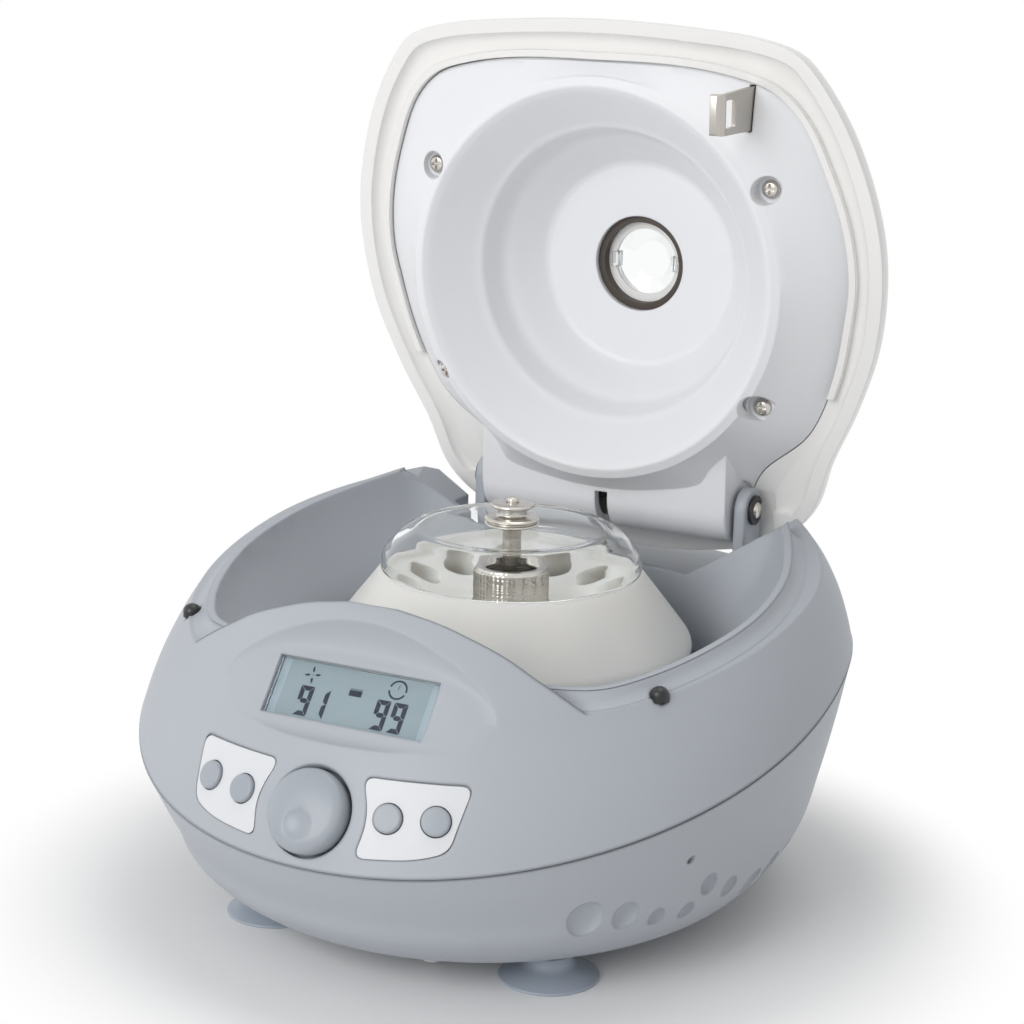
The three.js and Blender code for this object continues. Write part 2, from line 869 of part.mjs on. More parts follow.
function lowerHousing() {
  const outside = loft(
    lowerSteps.map((share, i) => lowerRing(share, 0, i === lowerSteps.length - 1 ? -seamGap / 2 : 0)),
  );
  const inside = loft([
    ...lowerInnerSteps.map((share) => lowerRing(share, housingWall, 0)),
    lowerRing(1, housingWall, housingWall),
  ]);
  const inner = inside.intersect(
    box(-bodyWidth, bodyWidth, -bodyDepth, bodyDepth, floorTop, seamHeight + bodyDepth),
  );
  const panelBlock = box(
    -rearPanelHalfWidth - rearPanelWall,
    rearPanelHalfWidth + rearPanelWall,
    rearPanelY - rearPanelWall,
    bodyDepth,
    rearPanelBottom - rearPanelWall,
    rearPanelTop + rearPanelWall,
  ).intersect(outside);
  const panelRecess = box(
    -rearPanelHalfWidth,
    rearPanelHalfWidth,
    rearPanelY,
    bodyDepth,
    rearPanelBottom,
    rearPanelTop,
  );
  const jackHole = rodAlong(
    jackRadius + clearance,
    new THREE.Vector3(jackX, rearPanelY - cutOver / 2, panelMiddleZ),
    new THREE.Vector3(jackX, rearPanelY + cutOver / 2, panelMiddleZ),
    smallPoints,
  );
  const switchHole = box(
    switchX - switchHalfWidth - clearance,
    switchX + switchHalfWidth + clearance,
    rearPanelY - cutOver / 2,
    rearPanelY + cutOver / 2,
    panelMiddleZ - switchHalfHeight - clearance,
    panelMiddleZ + switchHalfHeight + clearance,
  );
  const posts = mountPlaces.map(([x, y]) =>
    rod(postRadius, floorTop - skin, postTop, x, y, smallPoints),
  );
  const standoffs = [-1, 1].map((side) =>
    rod(
      standoffRadius,
      floorTop - skin,
      mainBoardZ,
      (side * mainBoardWidth) / 2 - side * standoffRadius,
      mainBoardY,
      smallPoints,
    ),
  );
  const footHoles = Object.values(footPlaces).map(([x, y]) =>
    rod(footStud + clearance, baseHeight - cutOver, floorTop + cutOver, x, y, smallPoints),
  );
  const plugHole = rod(plugRadius + clearance, -cutOver, floorTop + cutOver, plugX, plugY, smallPoints);
  const dimples = [-1, 1].flatMap((side) =>
    ventPlaces.map(([y, z, radius]) => ventDimple(side, y, z, radius)),
  );
  const hole = sidePoint(1, pinHoleY, pinHoleZ);
  const pinHole = rodAlong(
    pinHoleRadius,
    hole.clone().sub(acrossX.clone().multiplyScalar(housingWall * 2)),
    hole.clone().add(acrossX.clone().multiplyScalar(housingWall * 2)),
    smallPoints,
  );
  return cut(
    join(cut(outside, inner), panelBlock, ...posts, ...standoffs),
    panelRecess,
    jackHole,
    switchHole,
    plugHole,
    pinHole,
    ...footHoles,
    ...dimples,
  );
}

// Upper housing

const dialTilt = degrees(dialTiltDegrees);
const dialAxis = new THREE.Vector3(0, -Math.cos(dialTilt), Math.sin(dialTilt));
const dialFace = new THREE.Vector3(0, dialFaceY, dialFaceZ);
const alongDial = (distance) => dialFace.clone().add(dialAxis.clone().multiplyScalar(distance));

const displayTilt = degrees(displayTiltDegrees);
const displayAxis = new THREE.Vector3(0, -Math.cos(displayTilt), Math.sin(displayTilt));
const displayUp = new THREE.Vector3(0, Math.sin(displayTilt), Math.cos(displayTilt));
const displayCentre = new THREE.Vector3(0, displayY, displayZ);

function onDisplay(x, v, out) {
  return displayCentre
    .clone()
    .add(new THREE.Vector3(x, 0, 0))
    .add(displayUp.clone().multiplyScalar(v))
    .add(displayAxis.clone().multiplyScalar(out));
}

function displayBlock(halfWidth, halfHeight, low, high) {
  const corners = [
    [-halfWidth, -halfHeight],
    [halfWidth, -halfHeight],
    [halfWidth, halfHeight],
    [-halfWidth, halfHeight],
  ];
  return loft([low, high].map((out) => corners.map(([x, v]) => onDisplay(x, v, out))));
}

// One ring of the lens-shaped recess round the display, with a flat foot and an arched top
function recessRing(halfWidth, top, bottom, out) {
  const ring = [];
  for (let i = 0; i < ringPoints; i++) {
    const angle = (i / ringPoints) * 2 * Math.PI;
    const c = Math.cos(angle);
    const s = Math.sin(angle);
    const power = s < 0 ? 0.42 : 1;
    ring.push(
      onDisplay(
        halfWidth * Math.sign(c) * Math.abs(c) ** (s < 0 ? 0.75 : 0.85),
        Math.sign(s) * Math.abs(s) ** power * (s < 0 ? bottom : top),
        out,
      ),
    );
  }
  return ring;
}

function displayRecess() {
  const rows = [
    [0, 0],
    [0.1, 0.02],
    [0.35, 0.15],
    [0.62, 0.42],
    [0.85, 0.75],
    [1, 1],
  ];
  const rings = rows.map(([open, rise]) =>
    recessRing(
      recessFloorHalfWidth + (recessHalfWidth - recessFloorHalfWidth) * open,
      recessFloorTop + (recessTop - recessFloorTop) * open,
      recessFloorBottom + (recessBottom - recessFloorBottom) * open,
      recessRise * rise,
    ),
  );
  const over = rings[rings.length - 1].map((p) =>
    p.clone().add(displayAxis.clone().multiplyScalar(cutOver / 4)),
  );
  return loft([...rings, over]);
}

// Outline of a key plate in front view, as X and Z, for the right side
function platePoints(grow) {
  const shape = new THREE.Shape();
  const left = plateInnerX - grow;
  const right = plateOuterX + grow;
  const top = plateTopZ + grow;
  const foot = plateBottomZ - grow;
  const outerFoot = plateOuterBottomZ - grow;
  const corner = plateCorner + grow;
  const inner = left - plateLean;
  const middle = (top + foot) / 2;
  shape.moveTo(inner + corner, top);
  shape.lineTo(right - corner, top + grow);
  shape.quadraticCurveTo(right, top, right, top - corner);
  shape.lineTo(right - plateLean / 2, outerFoot + corner);
  shape.quadraticCurveTo(right - plateLean, outerFoot, right - plateLean - corner, outerFoot - plateLean / 3);
  shape.quadraticCurveTo((left + right) / 2, foot, left + corner, foot);
  shape.quadraticCurveTo(inner, foot, inner + plateLean / 2, foot + corner);
  shape.quadraticCurveTo(left + plateBow, middle, inner, top - corner);
  shape.quadraticCurveTo(inner, top, inner + corner, top);
  return shape.extractPoints(5).shape.slice(0, -1);
}

function plateSolid(side, grow, outer, inner) {
  const points = platePoints(grow).map((p) => new THREE.Vector2(p.x * side, p.y));
  const at = (y) => points.map((p) => new THREE.Vector3(p.x, y, p.y));
  const blank = loft([at(-bodyDepth), at(-bodyDepth * plateBackShare)]);
  return blank.intersect(hoodSkin(outer)).subtract(hoodSkin(inner));
}

function hoodSkin(inset) {
  return loft(upperSteps.slice(0, 8).map((share) => upperRing(share, inset, 0)));
}

function keyPlace(name) {
  const [x, z] = keyPlaces[name];
  return [facePoint(x, z), faceNormal(x, z)];
}

function alongKey(name, radius, low, high, points = smallPoints) {
  const [place, normal] = keyPlace(name);
  const from = place.clone().add(normal.clone().multiplyScalar(low));
  const to = place.clone().add(normal.clone().multiplyScalar(high));
  return rodAlong(radius, from, to, points);
}

function lidZone(grow, low) {
  const hood = sheared(polarRing(lidRadiusAt(-grow), flat(0)), low, cutOver * 1.5);
  const corners = [
    [-bodyWidth, -lidFront + hoodTailSet],
    [bodyWidth, -lidFront + hoodTailSet],
    [bodyWidth, bodyDepth],
    [-bodyWidth, bodyDepth],
  ];
  const rest = sheared(
    corners.map(([x, y]) => new THREE.Vector3(x, y, 0)),
    low,
    cutOver * 1.5,
  );
  return hood.add(rest);
}

function rearCuts() {
  const earX = lidHalfWidth * earShare;
  const outline = [
    [-saddleHalfWidth, saddleHeight],
    [saddleHalfWidth, saddleHeight],
    [earX, earInnerHeight],
    [earX + earRise, earInnerHeight + earRise * 2],
    [-earX - earRise, earInnerHeight + earRise * 2],
    [-earX, earInnerHeight],
  ];
  const saddle = loft(
    [saddleFrontY, bodyDepth].map((y) => outline.map(([x, z]) => new THREE.Vector3(x, y, z))),
  );
  const deck = box(-bodyWidth, bodyWidth, deckFrontY, bodyDepth, deckHeight, rimHeight * 2);
  return saddle.add(deck);
}

const notchX0 = latchX - latchCurl - pocketMargin;
const notchX1 = latchX + latchThickness + pocketMargin;
const notchY0 = latchY - latchWidth / 2 - pocketMargin;
const notchY1 = latchY + latchWidth / 2 + pocketMargin;

function upperHousing() {
  const outside = loft(
    upperSteps.map((share, i) => upperRing(share, 0, i === 0 ? seamGap / 2 : 0)),
  );
  const wellSolid = well(wellWall, 0);
  const hollowTop = loft(
    [-seamGap * 10, 0].map((raise) => upperRing(0, housingWall, raise)),
  ).add(loft(upperInnerSteps.map((share) => upperRing(share, housingWall, -housingWall * share))));
  const rearSolid = box(
    -bodyWidth,
    bodyWidth,
    saddleFrontY - housingWall,
    bodyDepth,
    deckHeight - housingWall,
    rimHeight * 2,
  );
  const hollow = cut(
    hollowTop,
    lidZone(hoodGap + housingWall, -ledgeDrop - housingWall),
    wellSolid,
    rearSolid,
  );
  const pocket = box(
    -pocketHalfWidth,
    pocketHalfWidth,
    saddleFrontY,
    bodyDepth,
    deckHeight,
    rimHeight * 2,
  ).subtract(wellSolid);
  const latchPocket = box(notchX0, notchX1, notchY0, notchY1, bowlTop, rimHeight);
  const bumperSeat = rimZ(bumperY) - bumperSeatDrop;
  const bumperHoles = [-1, 1].flatMap((side) => [
    rod(bumperStud + clearance, seamHeight, rimHeight, side * bumperX, bumperY, smallPoints),
    rod(bumperRadius + clearance, bumperSeat, rimHeight, side * bumperX, bumperY, smallPoints),
  ]);
  const boltWay = box(
    latchX,
    lockX + boltLength,
    latchY - boltWidth / 2 - clearance,
    latchY + boltWidth / 2 + clearance,
    boltZ - clearance,
    boltZ + boltHeight + clearance,
  );
  const shell = cut(
    join(cut(outside, lidZone(hoodGap, -ledgeDrop)), wellSolid.intersect(outsideUnder())),
    well(0, cutOver / 2),
    hollow,
    rearCuts(),
    pocket,
    latchPocket,
    boltWay,
    ...bumperHoles,
  );
  const dialRecess = toSolid(
    placed(
      latheGeometry([
        [0, -dialRecessDepth],
        [dialRadius + clearance * 3, -dialRecessDepth],
        [dialRadius + clearance * 6, -dialRecessDepth + dialEdge],
        [dialRecessRadius, -dialRecessDepth / 2],
        [dialRecessRadius + dialEdge, 0],
        [0, 0],
      ]),
      dialFace,
      dialAxis,
    ),
  );
  const dialHole = rodAlong(
    dialShaftRadius + clearance,
    alongDial(-cutOver / 2),
    alongDial(0),
    smallPoints,
  );
  const keyHoles = Object.keys(keyPlaces).map((name) =>
    alongKey(name, keyRadius + clearance, -cutOver / 4, cutOver / 4),
  );
  const plateSeats = [-1, 1].map((side) =>
    plateSolid(side, plateGap, -cutOver / 4, plateSeat),
  );
  const backing = frontBacking();
  return cut(
    join(shell, backing),
    displayRecess(),
    displayBlock(displayHalfWidth, displayHalfHeight, -cutOver / 3, cutOver / 3),
    dialRecess,
    dialHole,
    ...keyHoles,
    ...plateSeats,
  );
}

// Everything under the top of the ridge round the well
function outsideUnder() {
  const corners = [
    [-bodyWidth, -bodyDepth],
    [bodyWidth, -bodyDepth],
    [bodyWidth, bodyDepth],
    [-bodyWidth, bodyDepth],
  ];
  return sheared(
    corners.map(([x, y]) => new THREE.Vector3(x, y, 0)),
    -rimHeight,
    ridgeRise,
  );
}

// Thicker wall behind the display recess and the knob, inside the hood
function frontBacking() {
  const behindDisplay = displayBlock(
    recessFloorHalfWidth,
    recessFloorTop,
    -housingWall,
    cutOver / 4,
  );
  const behindDial = rodAlong(
    dialRecessRadius,
    alongDial(-dialRecessDepth - housingWall),
    alongDial(0),
    smallPoints,
  );
  const inside = loft(upperInnerSteps.map((share) => upperRing(share, housingWall / 2, 0)));
  return join(behindDisplay, behindDial)
    .intersect(inside)
    .subtract(lidZone(hoodGap, -ledgeDrop))
    .subtract(well(wellWall / 2, cutOver / 2));
}

// Chamber bowl

function chamberBowl() {
  const outer = bowlRadius + bowlWall;
  const bottom = bowlFloor - bowlWall;
  return turned(
    [
      [bowlHoleRadius, bottom],
      [outer - bowlRound, bottom],
      [outer, bottom + bowlRound],
      [outer, bowlTop],
      [bowlRadius, bowlTop],
      [bowlRadius, bowlFloor + bowlRound],
      [bowlRadius - bowlRound, bowlFloor],
      [bowlHoleRadius, bowlFloor],
      [bowlHoleRadius, bottom],
    ],
    0,
    rotorY,
    ringPoints,
  );
}

// Rotor

function rotorBody() {
  const under = rotorWideHeight - rotorBottom;
  const over = rotorTop - rotorWideHeight;
  const outside = turned(
    [
      [0, rotorBottom],
      ...rotorUnderShares.map(([r, z]) => [rotorRadius * r, rotorBottom + under * z]),
      ...rotorOverShares.map(([r, z]) => [rotorRadius * r, rotorWideHeight + over * z]),
      [rotorTopRadius, rotorTop],
      [rotorTopRadius - coverWall - clearance, rotorTop],
      [rotorTopRadius - coverWall - clearance, rotorTop - rotorRim],
      [0, rotorTop - rotorRim],
    ],
    0,
    rotorY,
    rotorPoints,
  );
  const mouth = rotorTopRadius - coverWall - clearance - rotorRim;
  const funnel = turned(
    [
      [0, funnelFloor],
      [funnelRadius, funnelFloor],
      [mouth, rotorTop - rotorRim],
      [mouth, rotorTop + rotorRim],
      [0, rotorTop + rotorRim],
    ],
    0,
    rotorY,
    rotorPoints,
  );
  const bores = Array.from({ length: tubeCount }, (_, i) => {
    const angle = (i / tubeCount) * 2 * Math.PI;
    const outward = new THREE.Vector3(Math.cos(angle), Math.sin(angle), 0);
    const start = outward.clone().multiplyScalar(tubeStartRadius);
    start.add(new THREE.Vector3(0, rotorY, tubeStartHeight));
    const direction = outward.clone().sub(up).normalize();
    return rodAlong(
      tubeRadius,
      start.clone().sub(direction.clone().multiplyScalar(tubeRadius)),
      start.clone().add(direction.clone().multiplyScalar(tubeLength)),
      tubePoints,
    );
  });
  const bore = rod(shaftRadius + clearance, 0, rimHeight * 2, 0, rotorY, smallPoints);
  return cut(outside, funnel, bore, ...bores);
}

function rotorNut() {
  const shape = new THREE.Shape();
  for (let i = 0; i <= nutKnurls * 2; i++) {
    const angle = (i / nutKnurls / 2) * 2 * Math.PI;
    const radius = nutRadius - (i % 2) * nutKnurlDepth;
    const point = [radius * Math.cos(angle), radius * Math.sin(angle)];
    if (i === 0) shape.moveTo(...point);
    else shape.lineTo(...point);
  }
  const bottom = funnelFloor + clearance;
  const knurled = new THREE.ExtrudeGeometry(shape, { depth: nutTop - bottom, bevelEnabled: false });
  knurled.translate(0, rotorY, bottom);
  const floor = bottom + (nutTop - bottom) * nutFloorShare;
  const hollow = rod(nutBore, floor, rimHeight * 2, 0, rotorY, smallPoints);
  const bore = rod(shaftRadius + clearance, 0, rimHeight * 2, 0, rotorY, smallPoints);
  return cut(toSolid(knurled), hollow, bore);
}

function rotorCover() {
  const bottom = rotorTop + clearance;
  const inner = (radius) => radius - coverWall;
  return turned(
    [
      [coverBore, coverTop - coverWall],
      [coverTopRadius - coverWall / 2, coverTop - coverWall],
      [inner(coverRadius) - coverWall, bottom + coverSkirt + coverWall],
      [inner(coverRadius), bottom + coverSkirt],
      [inner(coverRadius), bottom],
      [coverRadius, bottom],
      [coverRadius, bottom + coverSkirt],
      [coverRadius - coverWall, bottom + coverSkirt + coverWall * 1.5],
      [coverTopRadius + coverWall, coverTop - coverWall / 2],
      [coverTopRadius, coverTop],
      [coverBore, coverTop],
      [coverBore, coverTop - coverWall],
    ],
    0,
    rotorY,
    rotorPoints,
  );
}

function coverKnob() {
  const seat = coverTop + clearance;
  const step = (knobFlangeTop - seat) / 3;
  const pinHole = rod(
    knobPinRadius + clearance,
    knobPinTop - knobPinLength - clearance * 8,
    rimHeight * 2,
    0,
    rotorY,
    smallPoints,
  );
  const body = turned(
    [
      [0, knobSpindleBottom],
      [knobSpindleRadius, knobSpindleBottom],
      [knobSpindleRadius, seat],
      [knobFlangeRadius - step, seat],
      [knobFlangeRadius, seat + step / 2],
      [knobFlangeRadius - step, seat + step],
      [knobFlangeRadius - step, seat + step * 1.5],
      [knobFlangeRadius, seat + step * 2],
      [knobFlangeRadius - step, knobFlangeTop],
      [knobNeckRadius, knobFlangeTop],
      [knobNeckRadius, knobCapBottom],
      [knobCapRadius, knobCapBottom],
      [knobCapRadius, knobCapBottom + (knobCapTop - knobCapBottom) / 3],
      [knobCapRadius * 0.7, knobCapTop],
      [0, knobCapTop],
    ],
    0,
    rotorY,
    roundPoints,
  );
  return body.subtract(pinHole);
}

function coverPin() {
  return turned(
    [
      [0, knobPinTop - knobPinLength],
      [knobPinRadius, knobPinTop - knobPinLength],
      [knobPinRadius, knobPinTop - knobPinRadius / 2],
      [knobPinRadius / 2, knobPinTop],
      [0, knobPinTop],
    ],
    0,
    rotorY,
    smallPoints,
  );
}

// Lid, modelled shut, then turned open about the hinge

const ringHeight = (row) => aboveRim(row[1] * lidHeight);

function lidShell() {
  const outlineAt = lidRadiusAt(0);
  const outside = loft(domeShares.map((row) => polarRing(outlineAt, ringHeight(row), row[0])));
  const cavity = loft(domeInnerShares.map((row) => polarRing(outlineAt, ringHeight(row), row[0])));
  const mouth = sheared(polarRing(linerRadiusAt(-clearance), flat(0)), -cutOver, mouthDepth);
  const trough = sheared(polarRing(lidRadiusAt(lidLand), flat(0)), -cutOver, lidStep);
  const lip = sheared(polarRing(linerRadiusAt(-clearance - lidLip), flat(0)), -lipDrop, cutOver);
  const lipZone = box(-bodyWidth, bodyWidth, -bodyDepth, lipRearY, -cutOver, rimHeight * 2);
  const troughZone = box(-bodyWidth, bodyWidth, -bodyDepth, lipRearY * 2, -cutOver, rimHeight * 2);
  const troughCut = trough.subtract(lip.intersect(lipZone)).intersect(troughZone);
  const sight = rod(windowRingRadius + clearance, 0, rimHeight * 2, 0, rotorY);
  const barrelRoom = hingeRod(barrelRadius + clearance, barrelHalfLength + clearance);
  return cut(outside, cavity, mouth, troughCut, sight, barrelRoom, ...hingeNotches());
}

// Room in the lid for the hinge brackets, which stay with the housing
function hingeNotches() {
  const reach = [barrelHalfLength + clearance, hingePinHalfLength + clearance * 6];
  return [-1, 1].flatMap((side) => {
    const [x0, x1] = reach.map((x) => x * side).sort((a, b) => a - b);
    const round = rodAlong(
      hingeNotchRadius,
      new THREE.Vector3(x0, hingeY, hingeZ),
      new THREE.Vector3(x1, hingeY, hingeZ),
      roundPoints,
    );
    return [round, box(x0, x1, hingeY, bodyDepth, 0, hingeZ + bracketRadius + clearance * 3)];
  });
}

function dishProfile(grow, raise) {
  return dishShares.map(([r, z]) => [
    dishRadius * r + grow,
    dishHeight + dishDepth * z + raise,
  ]);
}

function linerSolid() {
  const edge = (rise) => polarRing(linerRadiusAt(0), aboveRim(rise));
  const under = dishProfile(0, 0).map(([r, z]) => polarRing(circle(r), flat(z)));
  const thick = linerWall * dishWallShare;
  const over = dishProfile(linerWall, thick).map(([r, z]) => polarRing(circle(r), flat(z)));
  const windowUnder = polarRing(circle(windowRadius), flat(dishHeight + dishDepth));
  const windowOver = polarRing(circle(windowRadius), flat(dishHeight + dishDepth + thick));
  const slopeUnder = polarRing(circle(dishRadius + linerWall), flat(dishHeight + linerWall / 3));
  return loft(
    [
      windowUnder,
      ...under.slice().reverse(),
      slopeUnder,
      edge(linerDrop),
      edge(linerDrop + linerWall),
      ...over.slice(1),
      windowOver,
    ],
    true,
  );
}

function barrelBlock() {
  const topAt = (y) => rimZ(y) + linerDrop + linerWall / 2;
  const front = rotorY + dishRadius * 0.66;
  const rear = hingeY + barrelRadius * 0.86;
  const outline = [
    [front, hingeZ - barrelRadius],
    [hingeY, hingeZ - barrelRadius],
    [rear, hingeZ],
    [rear, topAt(rear)],
    [front, topAt(front)],
  ];
  const block = loft(
    [-barrelHalfLength, barrelHalfLength].map((x) =>
      outline.map(([y, z]) => new THREE.Vector3(x, y, z)),
    ),
  ).intersect(sheared(polarRing(linerRadiusAt(0), flat(0)), -cutOver, cutOver));
  const dishBack = toSolid(
    placed(
      latheGeometry(
        [
          [0, dishHeight - linerWall],
          ...dishProfile(linerWall / 2, linerWall / 2),
          [0, dishHeight + dishDepth],
        ],
        ringPoints,
      ),
      new THREE.Vector3(0, rotorY, 0),
    ),
  );
  return block.subtract(dishBack);
}

function hingeRod(radius, halfLength, points = roundPoints) {
  return rodAlong(
    radius,
    new THREE.Vector3(-halfLength, hingeY, hingeZ),
    new THREE.Vector3(halfLength, hingeY, hingeZ),
    points,
  );
}

// A wedge of the barrel's wall, between two angles from +Y towards +Z, for the spring's leg
function springSlot() {
  const steps = 8;
  const [from, to] = springSlotDegrees.map(degrees);
  const outline = [[0, 0]];
  for (let i = 0; i <= steps; i++) {
    const angle = from + ((to - from) * i) / steps;
    outline.push([barrelRadius * 2 * Math.cos(angle), barrelRadius * 2 * Math.sin(angle)]);
  }
  return loft(
    [-springSlotHalfWidth, springSlotHalfWidth].map((x) =>
      outline.map(([y, z]) => new THREE.Vector3(x, hingeY + y, hingeZ + z)),
    ),
  ).intersect(hingeRod(barrelRadius + linerWall, springSlotHalfWidth * 2));
}

function screwHeight(x, y) {
  const radius = Math.hypot(x, y - rotorY);
  const edge = linerRadiusAt(0)(Math.atan2(y - rotorY, x));
  const share = (radius - dishRadius - linerWall) / (edge - dishRadius - linerWall);
  const edgeY = rotorY + ((y - rotorY) * edge) / radius;
  const low = dishHeight + linerWall / 3;
  return low + (rimZ(edgeY) + linerDrop - low) * share;
}

function lidLiner() {
  const recesses = Object.values(screwPlaces).map(([x, y]) => {
    const z = screwHeight(x, y);
    return rod(screwRecessRadius, z - cutOver / 2, z + screwRecessDepth, x, y, smallPoints);
  });
  const cups = Object.values(screwPlaces).map(([x, y]) => {
    const z = screwHeight(x, y);
    return rod(
      screwRecessRadius + linerWall,
      z + linerWall / 2,
      z + screwRecessDepth + linerWall,
      x,
      y,
      smallPoints,
    );
  });
  const shanks = Object.values(screwPlaces).map(([x, y]) =>
    rod(screwShank + clearance, 0, rimHeight * 2, x, y, smallPoints),
  );
  const dishInside = toSolid(
    placed(
      latheGeometry(
        [
          [0, dishHeight - cutOver / 6],
          [dishRadius, dishHeight - cutOver / 6],
          ...dishProfile(0, 0),
          [0, dishHeight + dishDepth],
        ],
        ringPoints,
      ),
      new THREE.Vector3(0, rotorY, 0),
    ),
  );
  const latchSlot = box(
    latchX - clearance,
    latchX + latchThickness + clearance,
    latchY - latchWidth / 2 - clearance,
    latchY + latchWidth / 2 + clearance,
    0,
    rimHeight * 2,
  );
  return cut(
    join(linerSolid(), barrelBlock(), hingeRod(barrelRadius, barrelHalfLength), ...cups),
    dishInside,
    hingeRod(barrelBore, barrelHalfLength - barrelEnd),
    hingeRod(hingePinRadius + clearance, barrelHalfLength * 2, smallPoints),
    springSlot(),
    latchSlot,
    ...hingeNotches(),
    ...recesses,
    ...shanks,
  );
}

function lidScrew(x, y) {
  const seat = screwHeight(x, y) + screwRecessDepth - clearance;
  return turned(
    [
      [0, seat - screwHead],
      [screwRadius * 0.7, seat - screwHead],
      [screwRadius, seat - screwHead / 2],
      [screwRadius, seat],
      [screwShank, seat],
      [screwShank, seat + screwLength],
      [0, seat + screwLength],
    ],
    x,
    y,
    smallPoints,
  );
}

function windowRing() {
  const top = windowRingHeight + windowRingWall;
  const bottom = dishHeight + dishDepth + linerWall + clearance;
  const outer = windowRingRadius;
  const flange = windowRadius + windowRingWall;
  return turned(
    [
      [outer - windowRingWall * 2, windowRingHeight],
      [outer - clearance, windowRingHeight],
      [outer - clearance, bottom],
      [flange, bottom],
      [flange, bottom + windowRingWall],
      [outer, bottom + windowRingWall],
      [outer, top + windowRingWall],
      [outer - windowRingWall, top + windowRingWall],
      [outer - windowRingWall, top],
      [outer - windowRingWall * 2, top],
      [outer - windowRingWall * 2, windowRingHeight],
    ],
    0,
    rotorY,
  );
}

function windowLens() {
  const seat = windowRingHeight + windowRingWall + clearance;
  const outer = windowRingRadius - windowRingWall - clearance;
  const rise = windowGlassThickness * 2;
  return turned(
    [
      [0, seat + rise],
      [windowGlassRadius * 0.6, seat + rise * 0.8],
      [windowGlassRadius, seat],
      [outer, seat],
      [outer, seat + windowGlassThickness],
      [windowGlassRadius, seat + windowGlassThickness],
      [windowGlassRadius * 0.6, seat + rise * 0.8 + windowGlassThickness],
      [0, seat + rise + windowGlassThickness],
    ],
    0,
    rotorY,
  );
}

function latchPlate() {
  const outline = [
    [-latchWidth / 2, latchTop],
    [-latchTipWidth / 2, latchTip],
    [latchTipWidth / 2, latchTip],
    [latchWidth / 2, latchTop],
  ];
  const plate = loft(
    [latchX, latchX + latchThickness].map((x) =>
      outline.map(([y, z]) => new THREE.Vector3(x, latchY + y, z)),
    ),
  );
  const curl = box(
    latchX - latchCurl,
    latchX + skin,
    latchY - latchTipWidth / 2,
    latchY + latchTipWidth / 2,
    latchTip,
    latchTip + latchThickness,
  );
  const root = box(
    latchX - latchCurl * 2,
    latchX + latchThickness,
    latchY - latchWidth / 2,
    latchY + latchWidth / 2,
    latchTop,
    latchTop + latchThickness,
  );
  const slot = box(
    latchX - cutOver,
    latchX + cutOver,
    latchY - latchSlotWidth / 2,
    latchY + latchSlotWidth / 2,
    latchSlotBottom,
    latchSlotBottom + latchSlotHeight,
  );
  return join(plate, curl, root).subtract(slot);
}

// Small parts

function foot(x, y) {
  const top = baseHeight;
  return turned(
    [
      [0, top * 0.4],
      [footRadius * 0.9, 0],
      [footRadius, 0],
      [footRadius, top * 0.09],
      [footRadius * 0.78, top * 0.34],
      [footNeck, top * 0.62],
      [footNeck, top],
      [footStud, top],
      [footStud, floorTop + clearance],
      [footHead, floorTop + clearance],
      [footStud, floorTop + clearance + footStud],
      [0, floorTop + clearance + footStud],
    ],
    x,
    y,
    roundPoints,
  );
}

function bumper(side) {
  const seat = rimZ(bumperY) - bumperSeatDrop + clearance;
  const top = rimZ(bumperY) - bumperDrop;
  return turned(
    [
      [0, seat - bumperStudLength],
      [bumperStud, seat - bumperStudLength],
      [bumperStud, seat],
      [bumperRadius, seat],
      ...bumperCrownShares.map(([r, down]) => [bumperRadius * r, top - bumperRadius * down]),
    ],
    side * bumperX,
    bumperY,
    smallPoints,
  );
}

function hingeBracket(side) {
  const inner = barrelHalfLength + bracketGap;
  const [x0, x1] = [inner, inner + bracketThickness].map((x) => x * side).sort((a, b) => a - b);
  const outline = [];
  for (let i = 0; i <= smallPoints; i++) {
    const angle = (i / smallPoints) * Math.PI;
    outline.push([bracketRadius * Math.cos(angle), hingeZ + bracketRadius * Math.sin(angle)]);
  }
  outline.push([-bracketRadius, deckHeight], [bracketRadius, deckHeight]);
  const upright = loft(
    [x0, x1].map((x) => outline.map(([y, z]) => new THREE.Vector3(x, hingeY + y, z))),
  );
  const foot0 = side > 0 ? x0 : x0 - bracketFoot;
  const footPlate = box(
    foot0,
    foot0 + bracketThickness + bracketFoot,
    hingeY - bracketRadius,
    hingeY + bracketRadius,
    deckHeight,
    deckHeight + bracketThickness / 2,
  );
  return join(upright, footPlate).subtract(
    hingeRod(hingePinRadius + clearance, hingePinHalfLength * 2, smallPoints),
  );
}

function hingeClip(side) {
  const from = (barrelHalfLength + bracketGap + bracketThickness + clearance) * side;
  const to = from + clipThickness * side;
  const disc = rodAlong(
    clipRadius,
    new THREE.Vector3(Math.min(from, to), hingeY, hingeZ),
    new THREE.Vector3(Math.max(from, to), hingeY, hingeZ),
    smallPoints,
  );
  return disc.subtract(hingeRod(hingePinRadius + clearance / 2, hingePinHalfLength * 2, smallPoints));
}

class SpringCurve extends THREE.Curve {
  getPoint(t) {
    const coil = THREE.MathUtils.clamp((t - springLegShare) / (1 - springLegShare), 0, 1);
    const angle = Math.PI + coil * springTurns * 2 * Math.PI;
    const x = springHalfLength * coil;
    const y = hingeY + springRadius * Math.cos(angle);
    const z = hingeZ + springRadius * Math.sin(angle);
    if (t >= springLegShare) return new THREE.Vector3(x, y, z);
    const down = 1 - t / springLegShare;
    const end = deckHeight + clearance + springWire;
    return new THREE.Vector3(x, y, z + (end - z) * down);
  }
}

